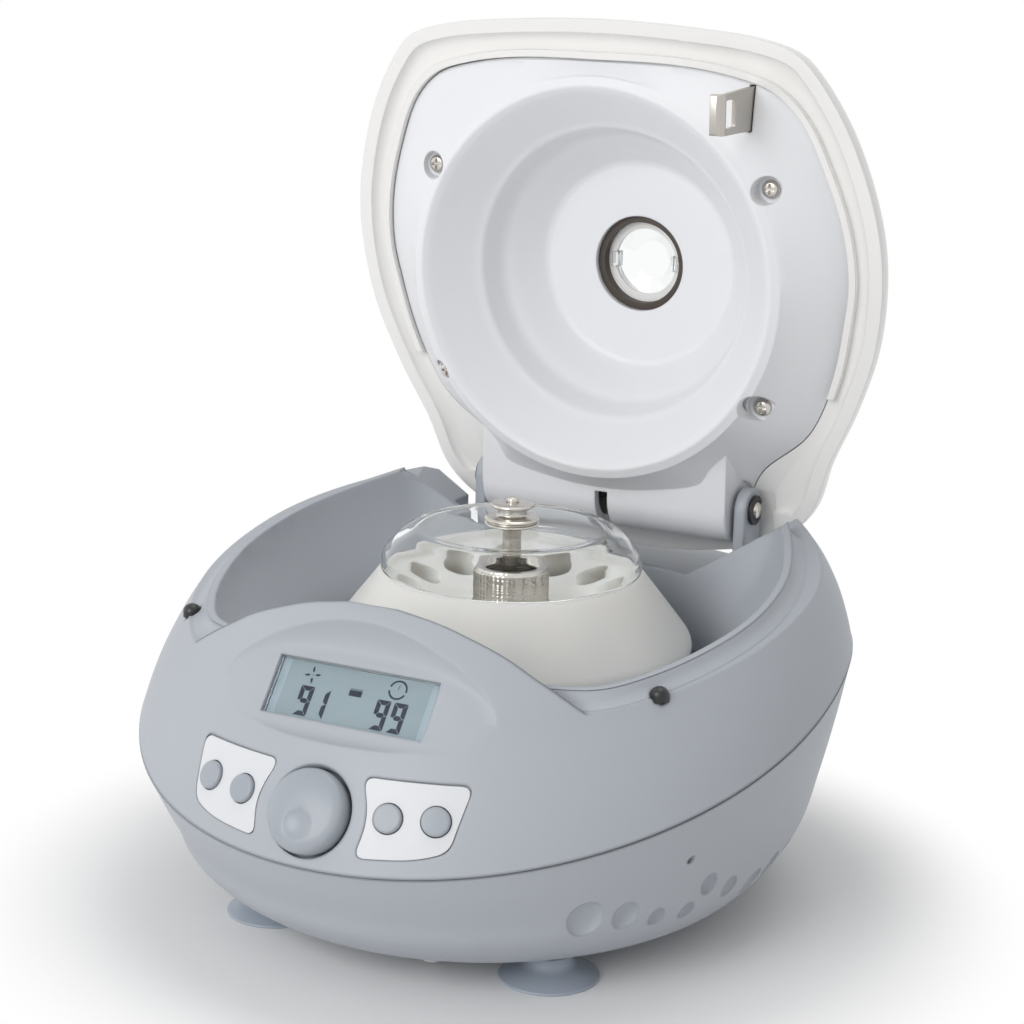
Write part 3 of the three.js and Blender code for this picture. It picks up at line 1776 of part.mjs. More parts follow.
function hingeSpring() {
  const shape = new THREE.Shape().absarc(0, 0, springWire, 0, Math.PI * 2);
  const tube = new THREE.ExtrudeGeometry(shape, {
    steps: springTurns * springPoints,
    curveSegments: springSides,
    extrudePath: new SpringCurve(),
  });
  return toSolid(tube);
}

// Motor and boards

function motor() {
  return turned(
    [
      [0, motorBottom],
      [motorRadius * 0.5, motorBottom],
      [motorRadius * 0.5, motorBottom + mountHeight / 4],
      [motorRadius - mountHeight / 4, motorBottom + mountHeight / 4],
      [motorRadius, motorBottom + mountHeight / 2],
      [motorRadius, motorTop - mountHeight / 4],
      [motorRadius - mountHeight / 4, motorTop],
      [shaftRadius + clearance, motorTop],
      [shaftRadius + clearance, shaftBottom - clearance],
      [0, shaftBottom - clearance],
    ],
    0,
    rotorY,
  );
}

function motorPlate() {
  const plate = rod(motorPlateRadius, motorTop, motorTop + motorPlateThickness, 0, rotorY);
  return plate.subtract(
    rod(motorRadius * 0.45, motorTop - cutOver, motorTop + cutOver, 0, rotorY, smallPoints),
  );
}

function driveShaft() {
  const top = nutTop - mountHeight / 2;
  return turned(
    [
      [0, shaftBottom],
      [shaftRadius, shaftBottom],
      [shaftRadius, rotorBottom - rotorRim],
      [shaftRadius * 2, rotorBottom - rotorRim],
      [shaftRadius * 2, rotorBottom - clearance],
      [shaftRadius, rotorBottom - clearance],
      [shaftRadius, top - shaftRadius],
      [shaftRadius * 0.7, top],
      [0, top],
    ],
    0,
    rotorY,
  );
}

function dial() {
  const body = toSolid(
    placed(
      latheGeometry([
        [dialShaftRadius + clearance / 2, -dialDepth],
        [dialRadius - dialEdge / 2, -dialDepth],
        [dialRadius, -dialDepth + dialEdge],
        [dialRadius, -dialEdge],
        [dialRadius - dialEdge * 0.25, -dialEdge * 0.35],
        [dialRadius - dialEdge, 0],
        [dialRadius / 2, dialDome * 0.75],
        [0, dialDome],
        [0, -dialDepth / 2],
        [dialShaftRadius + clearance / 2, -dialDepth / 2],
        [dialShaftRadius + clearance / 2, -dialDepth],
      ]),
      dialFace,
      dialAxis,
    ),
  );
  const ball = (dialDimpleRadius ** 2 + dialDimpleDepth ** 2) / dialDimpleDepth / 2;
  const down = dialAxis.clone().cross(acrossX).normalize();
  const centre = alongDial(dialDome * 0.75 + ball - dialDimpleDepth);
  centre.add(down.multiplyScalar(dialDimpleOffset));
  const thumb = new THREE.SphereGeometry(ball, roundPoints, roundPoints / 2);
  thumb.translate(centre.x, centre.y, centre.z);
  return body.subtract(toSolid(thumb));
}

function dialEncoder() {
  const top = -dialRecessDepth - housingWall - clearance;
  const spindle = rodAlong(
    dialShaftRadius,
    alongDial(top - skin),
    alongDial(-dialDepth / 2 - clearance),
    smallPoints,
  );
  const half = encoderSize / 2;
  const rise = dialAxis.clone().cross(acrossX).normalize();
  const corner = (sx, sv, out) =>
    alongDial(out)
      .add(acrossX.clone().multiplyScalar(sx * half))
      .add(rise.clone().multiplyScalar(sv * half));
  const block = loft(
    [top - encoderDepth, top].map((out) =>
      [[-1, -1], [1, -1], [1, 1], [-1, 1]].map(([sx, sv]) => corner(sx, sv, out)),
    ),
  );
  return block.add(spindle);
}

function key(name) {
  const stem = alongKey(name, keyRadius, -keyDepth, keyHeight - keyHeight / 3);
  const crown = alongKey(name, keyRadius - keyHeight / 3, 0, keyHeight);
  const flange = alongKey(
    name,
    keyRadius + keyFlange,
    -keyDepth - keyFlange,
    -keyDepth + skin,
  );
  return join(stem, crown, flange);
}

function keyPlate(side) {
  const names = Object.keys(keyPlaces).filter((name) => Math.sign(keyPlaces[name][0]) === side);
  return cut(
    plateSolid(side, 0, -clearance / 3, plateSeat - clearance),
    ...names.map((name) => alongKey(name, keyRadius + clearance, -cutOver / 4, cutOver / 4)),
  );
}

const moduleFront = -displaySetback - displayGlass - clearance;

function displayPiece(low, high) {
  return displayBlock(displayHalfWidth - clearance, displayHalfHeight - clearance, low, high);
}

// The board hangs behind the knob's encoder, square to the knob's axis
function controlBoard() {
  const front = -dialRecessDepth - housingWall - clearance * 2 - encoderDepth;
  const rise = dialAxis.clone().cross(acrossX).normalize();
  const at = (x, v, out) =>
    alongDial(out)
      .add(acrossX.clone().multiplyScalar(x))
      .add(rise.clone().multiplyScalar(v));
  const low = -controlBoardHeight * 0.15;
  const high = controlBoardHeight * 0.35;
  const corners = [
    [-controlBoardHalfWidth, low],
    [controlBoardHalfWidth, low],
    [controlBoardHalfWidth, high],
    [-controlBoardHalfWidth, high],
  ];
  return loft([front - boardThickness, front].map((out) => corners.map(([x, v]) => at(x, v, out))));
}

function mainBoard() {
  return box(
    -mainBoardWidth / 2,
    mainBoardWidth / 2,
    mainBoardY - mainBoardDepth / 2,
    mainBoardY + mainBoardDepth / 2,
    mainBoardZ,
    mainBoardZ + boardThickness,
  );
}

function lidLock() {
  const body = box(
    lockX,
    lockX + lockLength,
    latchY - lockWidth / 2,
    latchY + lockWidth / 2,
    lockBase,
    lockBase + lockHeight,
  );
  const channel = box(
    lockX - cutOver,
    lockX + boltLength + clearance,
    latchY - boltWidth / 2 - clearance,
    latchY + boltWidth / 2 + clearance,
    boltZ - clearance,
    boltZ + boltHeight + clearance,
  );
  return body.subtract(channel).subtract(well(wellWall + clearance, 0));
}

function lockBolt() {
  return box(
    lockX,
    lockX + boltLength,
    latchY - boltWidth / 2,
    latchY + boltWidth / 2,
    boltZ,
    boltZ + boltHeight,
  );
}

function releasePlug() {
  const head = floorTop + plugTravel + clearance;
  return turned(
    [
      [0, plugBottom],
      [plugRadius - clearance, plugBottom],
      [plugRadius, plugBottom + clearance],
      [plugRadius, head],
      [plugHead, head],
      [plugHead, head + plugRadius / 2],
      [0, head + plugRadius / 2],
    ],
    plugX,
    plugY,
    smallPoints,
  );
}

function powerJack() {
  const at = (y) => new THREE.Vector3(jackX, y, panelMiddleZ);
  const body = rodAlong(jackRadius, at(rearPanelY - jackDepth), at(rearPanelY + jackPin), smallPoints);
  const flange = rodAlong(
    jackRadius + jackPin * 2,
    at(rearPanelY + clearance),
    at(rearPanelY + clearance + jackPin),
    smallPoints,
  );
  const bore = rodAlong(jackBore, at(rearPanelY - jackDepth * 0.7), at(bodyDepth), smallPoints);
  const pin = rodAlong(jackPin, at(rearPanelY - jackDepth * 0.8), at(rearPanelY - jackPin), smallPoints);
  return join(join(body, flange).subtract(bore), pin);
}

function switchHousing() {
  const outer = box(
    switchX - switchHalfWidth,
    switchX + switchHalfWidth,
    rearPanelY - switchDepth,
    rearPanelY + clearance + switchFrame,
    panelMiddleZ - switchHalfHeight,
    panelMiddleZ + switchHalfHeight,
  );
  const rim = box(
    switchX - switchHalfWidth - switchFrame,
    switchX + switchHalfWidth + switchFrame,
    rearPanelY + clearance,
    rearPanelY + clearance + switchFrame,
    panelMiddleZ - switchHalfHeight - switchFrame,
    panelMiddleZ + switchHalfHeight + switchFrame,
  );
  const rockerWell = box(
    switchX - switchHalfWidth + switchFrame,
    switchX + switchHalfWidth - switchFrame,
    rearPanelY - switchDepth * 0.75,
    bodyDepth,
    panelMiddleZ - switchHalfHeight + switchFrame,
    panelMiddleZ + switchHalfHeight - switchFrame,
  );
  return outer.add(rim).subtract(rockerWell);
}

// Rocker seen from above: a shallow V whose two halves take turns to stand proud
function rocker() {
  const half = switchHalfWidth - switchFrame - clearance * 4;
  const base = rearPanelY + clearance;
  const outline = [
    [-half, base - rockerThickness / 2],
    [-half, base + rockerProud * 1.3],
    [0, base + rockerProud * 0.4],
    [half, base + rockerProud * 0.2],
    [half * 0.9, base - rockerThickness / 2],
    [0, base - rockerThickness],
  ];
  const tall = switchHalfHeight - switchFrame - clearance;
  return loft(
    [panelMiddleZ - tall, panelMiddleZ + tall].map((z) =>
      outline.map(([x, y]) => new THREE.Vector3(switchX + x, y, z)),
    ),
  );
}

// Scene graph

const finishes = {
  greyShell: { color: 0xb4bcc6, roughness: 0.5, metalness: 0 },
  greySeat: { color: 0xa7afb9, roughness: 0.55, metalness: 0 },
  white: { color: 0xf1f1f0, roughness: 0.4, metalness: 0 },
  liner: { color: 0xdfe2e6, roughness: 0.45, metalness: 0 },
  rotor: { color: 0xeeeeea, roughness: 0.35, metalness: 0 },
  clear: { color: 0xf4f7f7, roughness: 0.05, metalness: 0, transparent: true, opacity: 0.3 },
  steel: { color: 0xb9b6b0, roughness: 0.3, metalness: 1 },
  darkSteel: { color: 0x77736c, roughness: 0.35, metalness: 1 },
  rubber: { color: 0x141516, roughness: 0.6, metalness: 0 },
  greyRubber: { color: 0x9aa4b0, roughness: 0.6, metalness: 0 },
  black: { color: 0x1b1c1e, roughness: 0.5, metalness: 0 },
  display: { color: 0xa9bcc4, roughness: 0.25, metalness: 0 },
  board: { color: 0x2f6b45, roughness: 0.6, metalness: 0 },
};

const centrifuge = new THREE.Group();
centrifuge.name = "mini_centrifuge";

function add(name, solid, finish, group = centrifuge) {
  const mesh = new THREE.Mesh(toGeometry(solid), new THREE.MeshStandardMaterial(finishes[finish]));
  mesh.name = name;
  group.add(mesh);
}

// The lid's group turns about the hinge: its meshes are made shut
const lid = new THREE.Group();
lid.position.set(0, hingeY, hingeZ);
lid.rotation.x = -degrees(hingeOpenDegrees);
const lidShut = new THREE.Group();
lidShut.position.set(0, -hingeY, -hingeZ);
lid.add(lidShut);
centrifuge.add(lid);

add("lower_housing", lowerHousing(), "greyShell");
add("upper_housing", upperHousing(), "greyShell");
add("chamber_bowl", chamberBowl(), "greySeat");
add("motor", motor(), "darkSteel");
add("motor_plate", motorPlate(), "steel");
mountPlaces.forEach(([x, y], i) => {
  const mount = rod(mountRadius, postTop + clearance / 2, motorTop - clearance / 2, x, y, smallPoints);
  add(`motor_mount_${i + 1}`, mount, "rubber");
});
add("drive_shaft", driveShaft(), "steel");
add("rotor_body", rotorBody(), "rotor");
add("rotor_nut", rotorNut(), "steel");
add("rotor_cover", rotorCover(), "clear");
add("cover_knob", coverKnob(), "steel");
add("cover_pin", coverPin(), "steel");

add("display_window", displayPiece(-displaySetback - displayGlass, -displaySetback), "clear");
add("display_module", displayPiece(moduleFront - displayModule, moduleFront), "display");
add("left_key_plate", keyPlate(-1), "white");
add("right_key_plate", keyPlate(1), "white");
Object.keys(keyPlaces).forEach((name) => add(name, key(name), "greySeat"));
add("control_knob", dial(), "greySeat");
add("knob_encoder", dialEncoder(), "black");
add("control_board", controlBoard(), "board");
add("main_board", mainBoard(), "board");
add("lid_lock", lidLock(), "black");
add("lock_bolt", lockBolt(), "steel");
add("release_plug", releasePlug(), "white");
add("power_jack", powerJack(), "black");
add("switch_frame", switchHousing(), "black");
add("power_switch", rocker(), "black");
Object.entries(footPlaces).forEach(([name, [x, y]]) => add(name, foot(x, y), "greyRubber"));
add("bumper_left", bumper(-1), "rubber");
add("bumper_right", bumper(1), "rubber");
add("hinge_bracket_left", hingeBracket(-1), "greyShell");
add("hinge_bracket_right", hingeBracket(1), "greyShell");
add("hinge_pin", hingeRod(hingePinRadius, hingePinHalfLength, smallPoints), "steel");
add("hinge_clip_left", hingeClip(-1), "black");
add("hinge_clip_right", hingeClip(1), "black");
add("hinge_spring", hingeSpring(), "steel");

add("lid_shell", lidShell(), "white", lidShut);
add("lid_liner", lidLiner(), "liner", lidShut);
add("window_ring", windowRing(), "white", lidShut);
add("window_lens", windowLens(), "clear", lidShut);
add("latch_plate", latchPlate(), "steel", lidShut);
Object.entries(screwPlaces).forEach(([name, [x, y]]) => {
  add(name, lidScrew(x, y), "steel", lidShut);
});

// The origin goes under the middle of everything's bounding box
const extent = new THREE.Box3().setFromObject(centrifuge, true);
const middle = extent.getCenter(new THREE.Vector3());
centrifuge.position.set(-middle.x, -middle.y, -extent.min.z);

export default centrifuge;
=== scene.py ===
import math

import bmesh
import bpy
from mathutils import Matrix, Vector


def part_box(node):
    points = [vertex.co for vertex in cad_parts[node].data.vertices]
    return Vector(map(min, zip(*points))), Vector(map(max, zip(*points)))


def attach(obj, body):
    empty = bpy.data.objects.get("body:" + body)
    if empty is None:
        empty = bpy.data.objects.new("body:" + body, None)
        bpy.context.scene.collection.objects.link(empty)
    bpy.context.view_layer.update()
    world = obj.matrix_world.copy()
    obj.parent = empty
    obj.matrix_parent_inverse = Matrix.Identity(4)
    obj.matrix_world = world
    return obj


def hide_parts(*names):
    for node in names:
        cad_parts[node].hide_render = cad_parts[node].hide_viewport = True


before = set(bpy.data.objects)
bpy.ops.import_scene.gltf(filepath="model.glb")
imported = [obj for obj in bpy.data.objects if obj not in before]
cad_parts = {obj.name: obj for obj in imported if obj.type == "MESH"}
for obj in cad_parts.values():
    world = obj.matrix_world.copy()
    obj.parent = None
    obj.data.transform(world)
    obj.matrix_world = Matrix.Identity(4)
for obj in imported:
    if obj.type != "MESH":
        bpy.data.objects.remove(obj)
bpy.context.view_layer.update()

# Sizes below are millimetres, along Y from the housing's widest line, as in the part's source
MM = 0.001
low_corner, high_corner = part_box("lower_housing")
WIDEST = (low_corner[1] + high_corner[1]) / 2 / MM

TURN = 2 * math.pi
UP = Vector((0, 0, 1))
ACROSS = Vector((1, 0, 0))
REARWARDS = Vector((0, 1, 0))


# Mesh tools

# Points nearer than this, in millimetres, are one point
MERGE = 0.0005
# Edges that turn more than this, in degrees, are shaded as sharp
SHARP = 32


def as_mesh(name, bm):
    mesh = bpy.data.meshes.new(name)
    bm.to_mesh(mesh)
    bm.free()
    return mesh


def put_in_scene(name, data):
    item = bpy.data.objects.new(name, data)
    bpy.context.scene.collection.objects.link(item)
    return item


def new_piece(name, bm):
    """A bmesh in millimetres becomes an object at the origin, in metres."""
    bmesh.ops.remove_doubles(bm, verts=bm.verts, dist=MERGE)
    bmesh.ops.recalc_face_normals(bm, faces=bm.faces)
    bmesh.ops.translate(bm, verts=bm.verts, vec=(0, WIDEST, 0))
    bmesh.ops.scale(bm, verts=bm.verts, vec=(MM, MM, MM))
    piece = put_in_scene(name, as_mesh(name, bm))
    shade(piece)
    return piece


def shade(piece, angle=SHARP):
    piece.data.shade_smooth()
    piece.data.set_sharp_from_angle(angle=math.radians(angle))


def combine(piece, others, operation="DIFFERENCE", angle=SHARP):
    """Cuts the others out of a piece, or joins them to it, and drops them."""
    for other in others:
        step = piece.modifiers.new(operation.lower(), "BOOLEAN")
        step.operation = operation
        step.solver = "MANIFOLD"
        step.object = other
    graph = bpy.context.evaluated_depsgraph_get()
    made = bpy.data.meshes.new_from_object(piece.evaluated_get(graph))
    piece.modifiers.clear()
    old = piece.data
    piece.data = made
    bpy.data.meshes.remove(old)
    for other in others:
        bpy.data.objects.remove(other)
    shade(piece, angle)
    return piece


def join(piece, others):
    return combine(piece, others, "UNION")


def keep_within(piece, others):
    return combine(piece, others, "INTERSECT")


def ring_edges(verts):
    inside = set(verts)
    return list({e for v in verts for e in v.link_edges if e.other_vert(v) in inside})


def loft_mesh(rings, caps=True):
    """Rings of equal counts, each drawn out of the one before."""
    bm = bmesh.new()
    verts = bmesh.ops.create_circle(bm, segments=len(rings[0]), radius=1)["verts"]
    for vert, place in zip(verts, rings[0]):
        vert.co = place
    if caps:
        bmesh.ops.contextual_create(bm, geom=ring_edges(verts))
    for ring in rings[1:]:
        made = bmesh.ops.extrude_edge_only(bm, edges=ring_edges(verts))["geom"]
        fresh = {item for item in made if isinstance(item, bmesh.types.BMVert)}
        verts = [
            next(e.other_vert(v) for e in v.link_edges if e.other_vert(v) in fresh) for v in verts
        ]
        for vert, place in zip(verts, ring):
            vert.co = place
    if caps:
        bmesh.ops.contextual_create(bm, geom=ring_edges(verts))
    return bm


def loft(name, rings, caps=True):
    return new_piece(name, loft_mesh(rings, caps))


def prism(name, outline, axis, low, high):
    """An outline in the two other coordinates, drawn along this axis."""
    at = "XYZ".index(axis)
    return loft(name, [[(*point[:at], end, *point[at:]) for point in outline] for end in (low, high)])


def arc(radius, start, end, steps, centre=(0, 0)):
    """Places on a circle, from one angle in degrees to another."""
    angles = [math.radians(start + (end - start) * i / steps) for i in range(steps + 1)]
    return [(centre[0] + radius * math.cos(a), centre[1] + radius * math.sin(a)) for a in angles]


def turned_mesh(profile, steps=96):
    """A profile of radius and height spun round Z."""
    bm = bmesh.new()
    verts = [bm.verts.new((radius, 0, height)) for radius, height in profile]
    edges = [bm.edges.new(pair) for pair in zip(verts, verts[1:])]
    bmesh.ops.spin(
        bm, geom=verts + edges, cent=(0, 0, 0), axis=(0, 0, 1), dvec=(0, 0, 0),
        angle=TURN, steps=steps, use_merge=True, use_duplicate=False,
    )
    bmesh.ops.remove_doubles(bm, verts=bm.verts, dist=MERGE)
    return bm


def rod(radius, low, high):
    """The profile of a plain cylinder."""
    return [(0, low), (radius, low), (radius, high), (0, high)]


def aimed(bm, place, direction=UP):
    turn = direction.normalized().to_track_quat("Z", "Y").to_matrix().to_4x4()
    bmesh.ops.transform(bm, verts=bm.verts, matrix=Matrix.Translation(place) @ turn)
    return bm


def turned(name, profile, place=(0, 0, 0), direction=UP, steps=96, soft=0.0, detail=5):
    if soft:
        profile = softened(profile, soft, detail)
    return new_piece(name, aimed(turned_mesh(profile, steps), Vector(place), direction))


def softened(points, radius, steps=5):
    """Each inner corner of a profile drawn as an arc of about this radius."""
    out = [points[0]]
    for before, here, after in zip(points, points[1:], points[2:]):
        a, b, c = Vector(before), Vector(here), Vector(after)
        size = min(radius, (a - b).length * 0.45, (c - b).length * 0.45)
        start = b + (a - b).normalized() * size
        end = b + (c - b).normalized() * size
        for i in range(steps + 1):
            t = i / steps
            out.append(tuple(start * (1 - t) ** 2 + b * 2 * t * (1 - t) + end * t ** 2))
    out.append(points[-1])
    return out


def block(name, low, high, round_by=0.0):
    bm = bmesh.new()
    bmesh.ops.create_cube(bm, size=1)
    size = Vector(high) - Vector(low)
    bmesh.ops.scale(bm, verts=bm.verts, vec=size)
    bmesh.ops.translate(bm, verts=bm.verts, vec=(Vector(high) + Vector(low)) / 2)
    if round_by:
        bmesh.ops.bevel(
            bm, geom=bm.edges, offset=round_by, segments=3, profile=0.5,
            affect="EDGES", material=-1,
        )
    return new_piece(name, bm)


def extra(piece, body, material):
    """A detail that only the scene has."""
    mesh = piece.data
    mesh.materials.clear()
    mesh.materials.append(material)
    mesh.polygons.foreach_set("material_index", [0] * len(mesh.polygons))
    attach(piece, body)


def stands_for(piece, node, body, material):
    """Gives a piece its finish, and its CAD node's place in the part."""
    extra(piece, body, material)
    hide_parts(node)


# Materials

def linear(hex_colour):
    """An sRGB hex value as the linear colour that Blender works in."""
    values = [int(hex_colour[i:i + 2], 16) / 255 for i in (1, 3, 5)]
    return [v / 12.92 if v <= 0.04045 else ((v + 0.055) / 1.055) ** 2.4 for v in values] + [1]


def add(tree, kind, inputs=None, **settings):
    node = tree.nodes.new("ShaderNode" + kind)
    for key, value in settings.items():
        setattr(node, key, value)
    for key, value in (inputs or {}).items():
        if isinstance(value, bpy.types.NodeSocket):
            tree.links.new(value, node.inputs[key])
        else:
            node.inputs[key].default_value = value
    return node


def new_material(name, **sockets):
    """A material with its node tree and its shader, whose sockets are set by name."""
    material = bpy.data.materials.new(name)
    material.use_nodes = True
    shader = material.node_tree.nodes["Principled BSDF"]
    for key, value in sockets.items():
        shader.inputs[key.replace("_", " ")].default_value = value
    return material, material.node_tree, shader


def pattern(tree, place, size, detail, roughness=0.5):
    """A noise whose spots measure about this many millimetres."""
    inputs = {"Vector": place, "Scale": 1 / (size * MM), "Detail": detail, "Roughness": roughness}
    return add(tree, "TexNoise", inputs).outputs["Fac"]


def relief(tree, shader, grain, low, high, strength, depth, edge):
    """The grain moves the roughness and the bump, and the shader rounds the edges; in millimetres."""
    spread = add(tree, "MapRange", {"Value": grain, "To Min": low, "To Max": high})
    soft_edge = add(tree, "Bevel", {"Radius": edge * MM}, samples=6).outputs["Normal"]
    bump = add(
        tree, "Bump",
        {"Height": grain, "Strength": strength, "Distance": depth * MM, "Normal": soft_edge},
    )
    tree.links.new(spread.outputs["Result"], shader.inputs["Roughness"])
    tree.links.new(bump.outputs["Normal"], shader.inputs["Normal"])


def moulded(name, colour, roughness, grain, grain_height, tone=0.03, edge=0.6, gloss=0.0, **sockets):
    """A moulded plastic or rubber: its grain in millimetres, and its height as a share of a bump."""
    material, tree, shader = new_material(
        name, IOR=1.52, Coat_Weight=gloss, Coat_Roughness=0.12, **sockets
    )
    place = add(tree, "TexCoord").outputs["Object"]
    broad = pattern(tree, place, 60, 2.0)
    darker = [c * (1 - tone) for c in linear(colour)[:3]] + [1]
    lighter = [min(c * (1 + tone), 1) for c in linear(colour)[:3]] + [1]
    mixed = add(tree, "Mix", {0: broad, 6: darker, 7: lighter}, data_type="RGBA")
    tree.links.new(mixed.outputs[2], shader.inputs["Base Color"])
    fine = pattern(tree, place, grain, 3.0, 0.6)
    relief(tree, shader, fine, roughness - 0.04, roughness + 0.04, grain_height, 0.05, edge)
    return material


def metal(name, colour, roughness, line=0.25, direction="Z"):
    """A turned or drawn metal with fine lines a set distance apart, in millimetres."""
    material, tree, shader = new_material(name, Base_Color=linear(colour), Metallic=1)
    stretch = {"Y": (1, 0.02, 1), "Z": (0.02, 0.02, 1)}[direction]
    place = add(tree, "TexCoord").outputs["Object"]
    mapped = add(tree, "Mapping", {"Vector": place, "Scale": stretch}).outputs["Vector"]
    lines = pattern(tree, mapped, line, 4.0, 0.65)
    relief(tree, shader, lines, roughness - 0.08, roughness + 0.1, 0.25, 0.03, 0.25)
    return material


# Spark-eroded ABS: a fine matt grain, which spreads the light over the big curves
housing_abs = moulded("moulded_grey_abs", "#adb2b9", 0.47, 0.9, 0.35, edge=1.4)
# The same ABS, smoother and a little darker, on what fingers touch
key_abs = moulded("smooth_grey_abs", "#9fa5ad", 0.4, 0.8, 0.2, gloss=0.1)
# White ABS with a polished mould: a soft clear shine
lid_abs = moulded("polished_white_abs", "#f1f0ee", 0.3, 1.2, 0.1, tone=0.01, gloss=0.25)
plate_abs = moulded("printed_white_panel", "#dadcdf", 0.42, 0.8, 0.15, tone=0.01, edge=0.3)
# The lid's inner moulding, a cool white with a satin grain
liner_abs = moulded("satin_cool_white_abs", "#e9eaed", 0.42, 0.9, 0.2, tone=0.012, edge=0.9)
# Polypropylene lets a little light in, so its edges look milky
rotor_pp = moulded(
    "milky_polypropylene", "#e0dfdb", 0.4, 1.0, 0.15, tone=0.015, edge=0.8,
    Subsurface_Weight=0.6, Subsurface_Scale=0.015, Subsurface_Radius=(1.0, 0.9, 0.8),
)
seat_abs = moulded("moulded_grey_bowl", "#aab2bc", 0.5, 1.0, 0.3)
# Soft rubbers: nearly black, and the grey of the suction cups
bumper_rubber = moulded("black_rubber", "#0d0e10", 0.42, 0.6, 0.2, tone=0.1, edge=0.3, gloss=0.15)
cup_rubber = moulded("grey_suction_rubber", "#a0a9b5", 0.42, 0.9, 0.2, edge=0.4, gloss=0.1)
inner_black = moulded("black_nylon", "#1d1e21", 0.5, 0.8, 0.25, tone=0.08)
board_lacquer = moulded("green_board_lacquer", "#2f6b45", 0.45, 1.5, 0.2, tone=0.1)
key_black = moulded("polished_black_nylon", "#202124", 0.34, 0.9, 0.12, tone=0.06, gloss=0.2)
mount_rubber = moulded("isolator_rubber", "#26272a", 0.6, 0.6, 0.3, tone=0.08)
# Reflective liquid crystal: a grey green glass, navy where a segment is on, paler past its seal
crystal_glass = moulded("reflective_crystal_glass", "#8b9aa0", 0.3, 0.7, 0.05, tone=0.05, edge=0.1, gloss=0.3)
crystal_segment = moulded("crystal_segment", "#0d1832", 0.35, 0.7, 0.05, tone=0.06, edge=0.05)
crystal_seal = moulded("crystal_seal", "#9caab4", 0.35, 0.7, 0.05, tone=0.04, edge=0.05)

# Stainless steel: turned parts show faint rings, the latch plate shows rolling lines
turned_steel = metal("turned_stainless_steel", "#c9c5be", 0.24)
plate_steel = metal("rolled_stainless_steel", "#bdb9b2", 0.34, line=0.3, direction="Y")
zinc_steel = metal("zinc_plated_steel", "#8f8c86", 0.38)


def clear_plastic(name, tint, ior):
    """A polished clear plastic, with its colour as the tint of what shows through it."""
    return new_material(
        name, Base_Color=linear(tint), Roughness=0.015, IOR=ior, Transmission_Weight=1
    )[0]


# Clear polycarbonate, thin enough to move what shows through it only a little
cover_polycarbonate = clear_plastic("clear_polycarbonate", "#fdfefe", 1.1)
window_acrylic = clear_plastic("clear_acrylic", "#fafcfc", 1.49)
# The display pane is glued to the crystal, so it hardly mirrors the room
pane_acrylic = clear_plastic("bonded_clear_acrylic", "#fafcfc", 1.15)
# A dark brown ring round the lid's window: painted shade for the shadowed gap between the liner's hole and
# the window ring
painted_gap_shade = moulded("painted_gap_shade_brown", "#443c36", 0.55, 0.6, 0.2, tone=0.08, edge=0.2)


# Forms shared with the part's source

LOWER_ROWS = (
    (0, 0.628, 0.636, 0.862), (0.03, 0.72, 0.71, 0.868), (0.1, 0.79, 0.777, 0.876),
    (0.3, 0.885, 0.862, 0.905), (0.5, 0.925, 0.899, 0.945), (0.75, 0.965, 0.953, 0.985),
    (1, 1, 1, 1),
)
UPPER_ROWS = (
    (0, 1, 1, 1), (0.12, 0.981, 0.979, 0.998), (0.25, 0.954, 0.948, 0.992),
    (0.4, 0.912, 0.901, 0.965), (0.51, 0.874, 0.86, 0.92), (0.62, 0.842, 0.822, 0.86),
    (0.73, 0.8, 0.782, 0.81), (0.83, 0.73, 0.752, 0.77), (0.91, 0.63, 0.722, 0.735),
    (0.96, 0.53, 0.702, 0.71), (1, 0.38, 0.675, 0.66),
)
HALF_WIDTH, HALF_DEPTH = 113, 122.6
# The power of the housing's outline from above: a little squarer than an ellipse
PLAN_POWER = 2.04
# Height of the lower housing's foot and of its seam, then the hood's own height above the seam
BASE, SEAM, HOOD = 8, 78, 58.5
SEAM_RISE = 0.25
ROTOR_Y = 7.3
ROTOR_AXIS = (0, ROTOR_Y, 0)
# Past every side of the part, for cuts that run out of it; and the step by which a slope is measured
FAR, NEAR = 250, 0.6
# The lid's plane: its height at the rotor's zero, and its rise towards the hinge
RIM, SLOPE = 108, 0.178
# Every loft's rings have this many points; each one's direction is worked out once
ROUND = 200
CIRCLE = [(math.cos(i / ROUND * TURN), math.sin(i / ROUND * TURN)) for i in range(ROUND)]


def row_at(rows, share):
    """Width, front and rear at this share of the height, on a smooth curve through the rows."""
    last = len(rows) - 1
    i = 0
    while i < last - 1 and share > rows[i + 1][0]:
        i += 1
    a, b = rows[i], rows[i + 1]
    before, after = rows[max(i - 1, 0)], rows[min(i + 2, last)]
    span = b[0] - a[0]
    t = (share - a[0]) / span
    out = []
    for k in range(1, 4):
        slope_a = (b[k] - before[k]) / (b[0] - before[0]) if i > 0 else (b[k] - a[k]) / span
        slope_b = (after[k] - a[k]) / (after[0] - a[0]) if i + 2 <= last else (b[k] - a[k]) / span
        out.append(
            (2 * t ** 3 - 3 * t ** 2 + 1) * a[k] + (t ** 3 - 2 * t ** 2 + t) * span * slope_a
            + (3 * t ** 2 - 2 * t ** 3) * b[k] + (t ** 3 - t ** 2) * span * slope_b
        )
    return out


def levelled(y):
    """Y, but levelling off behind the rotor: the seam rises with it."""
    start, reach = 10, 28
    return y if y < start else start + reach * math.tanh((y - start) / reach)


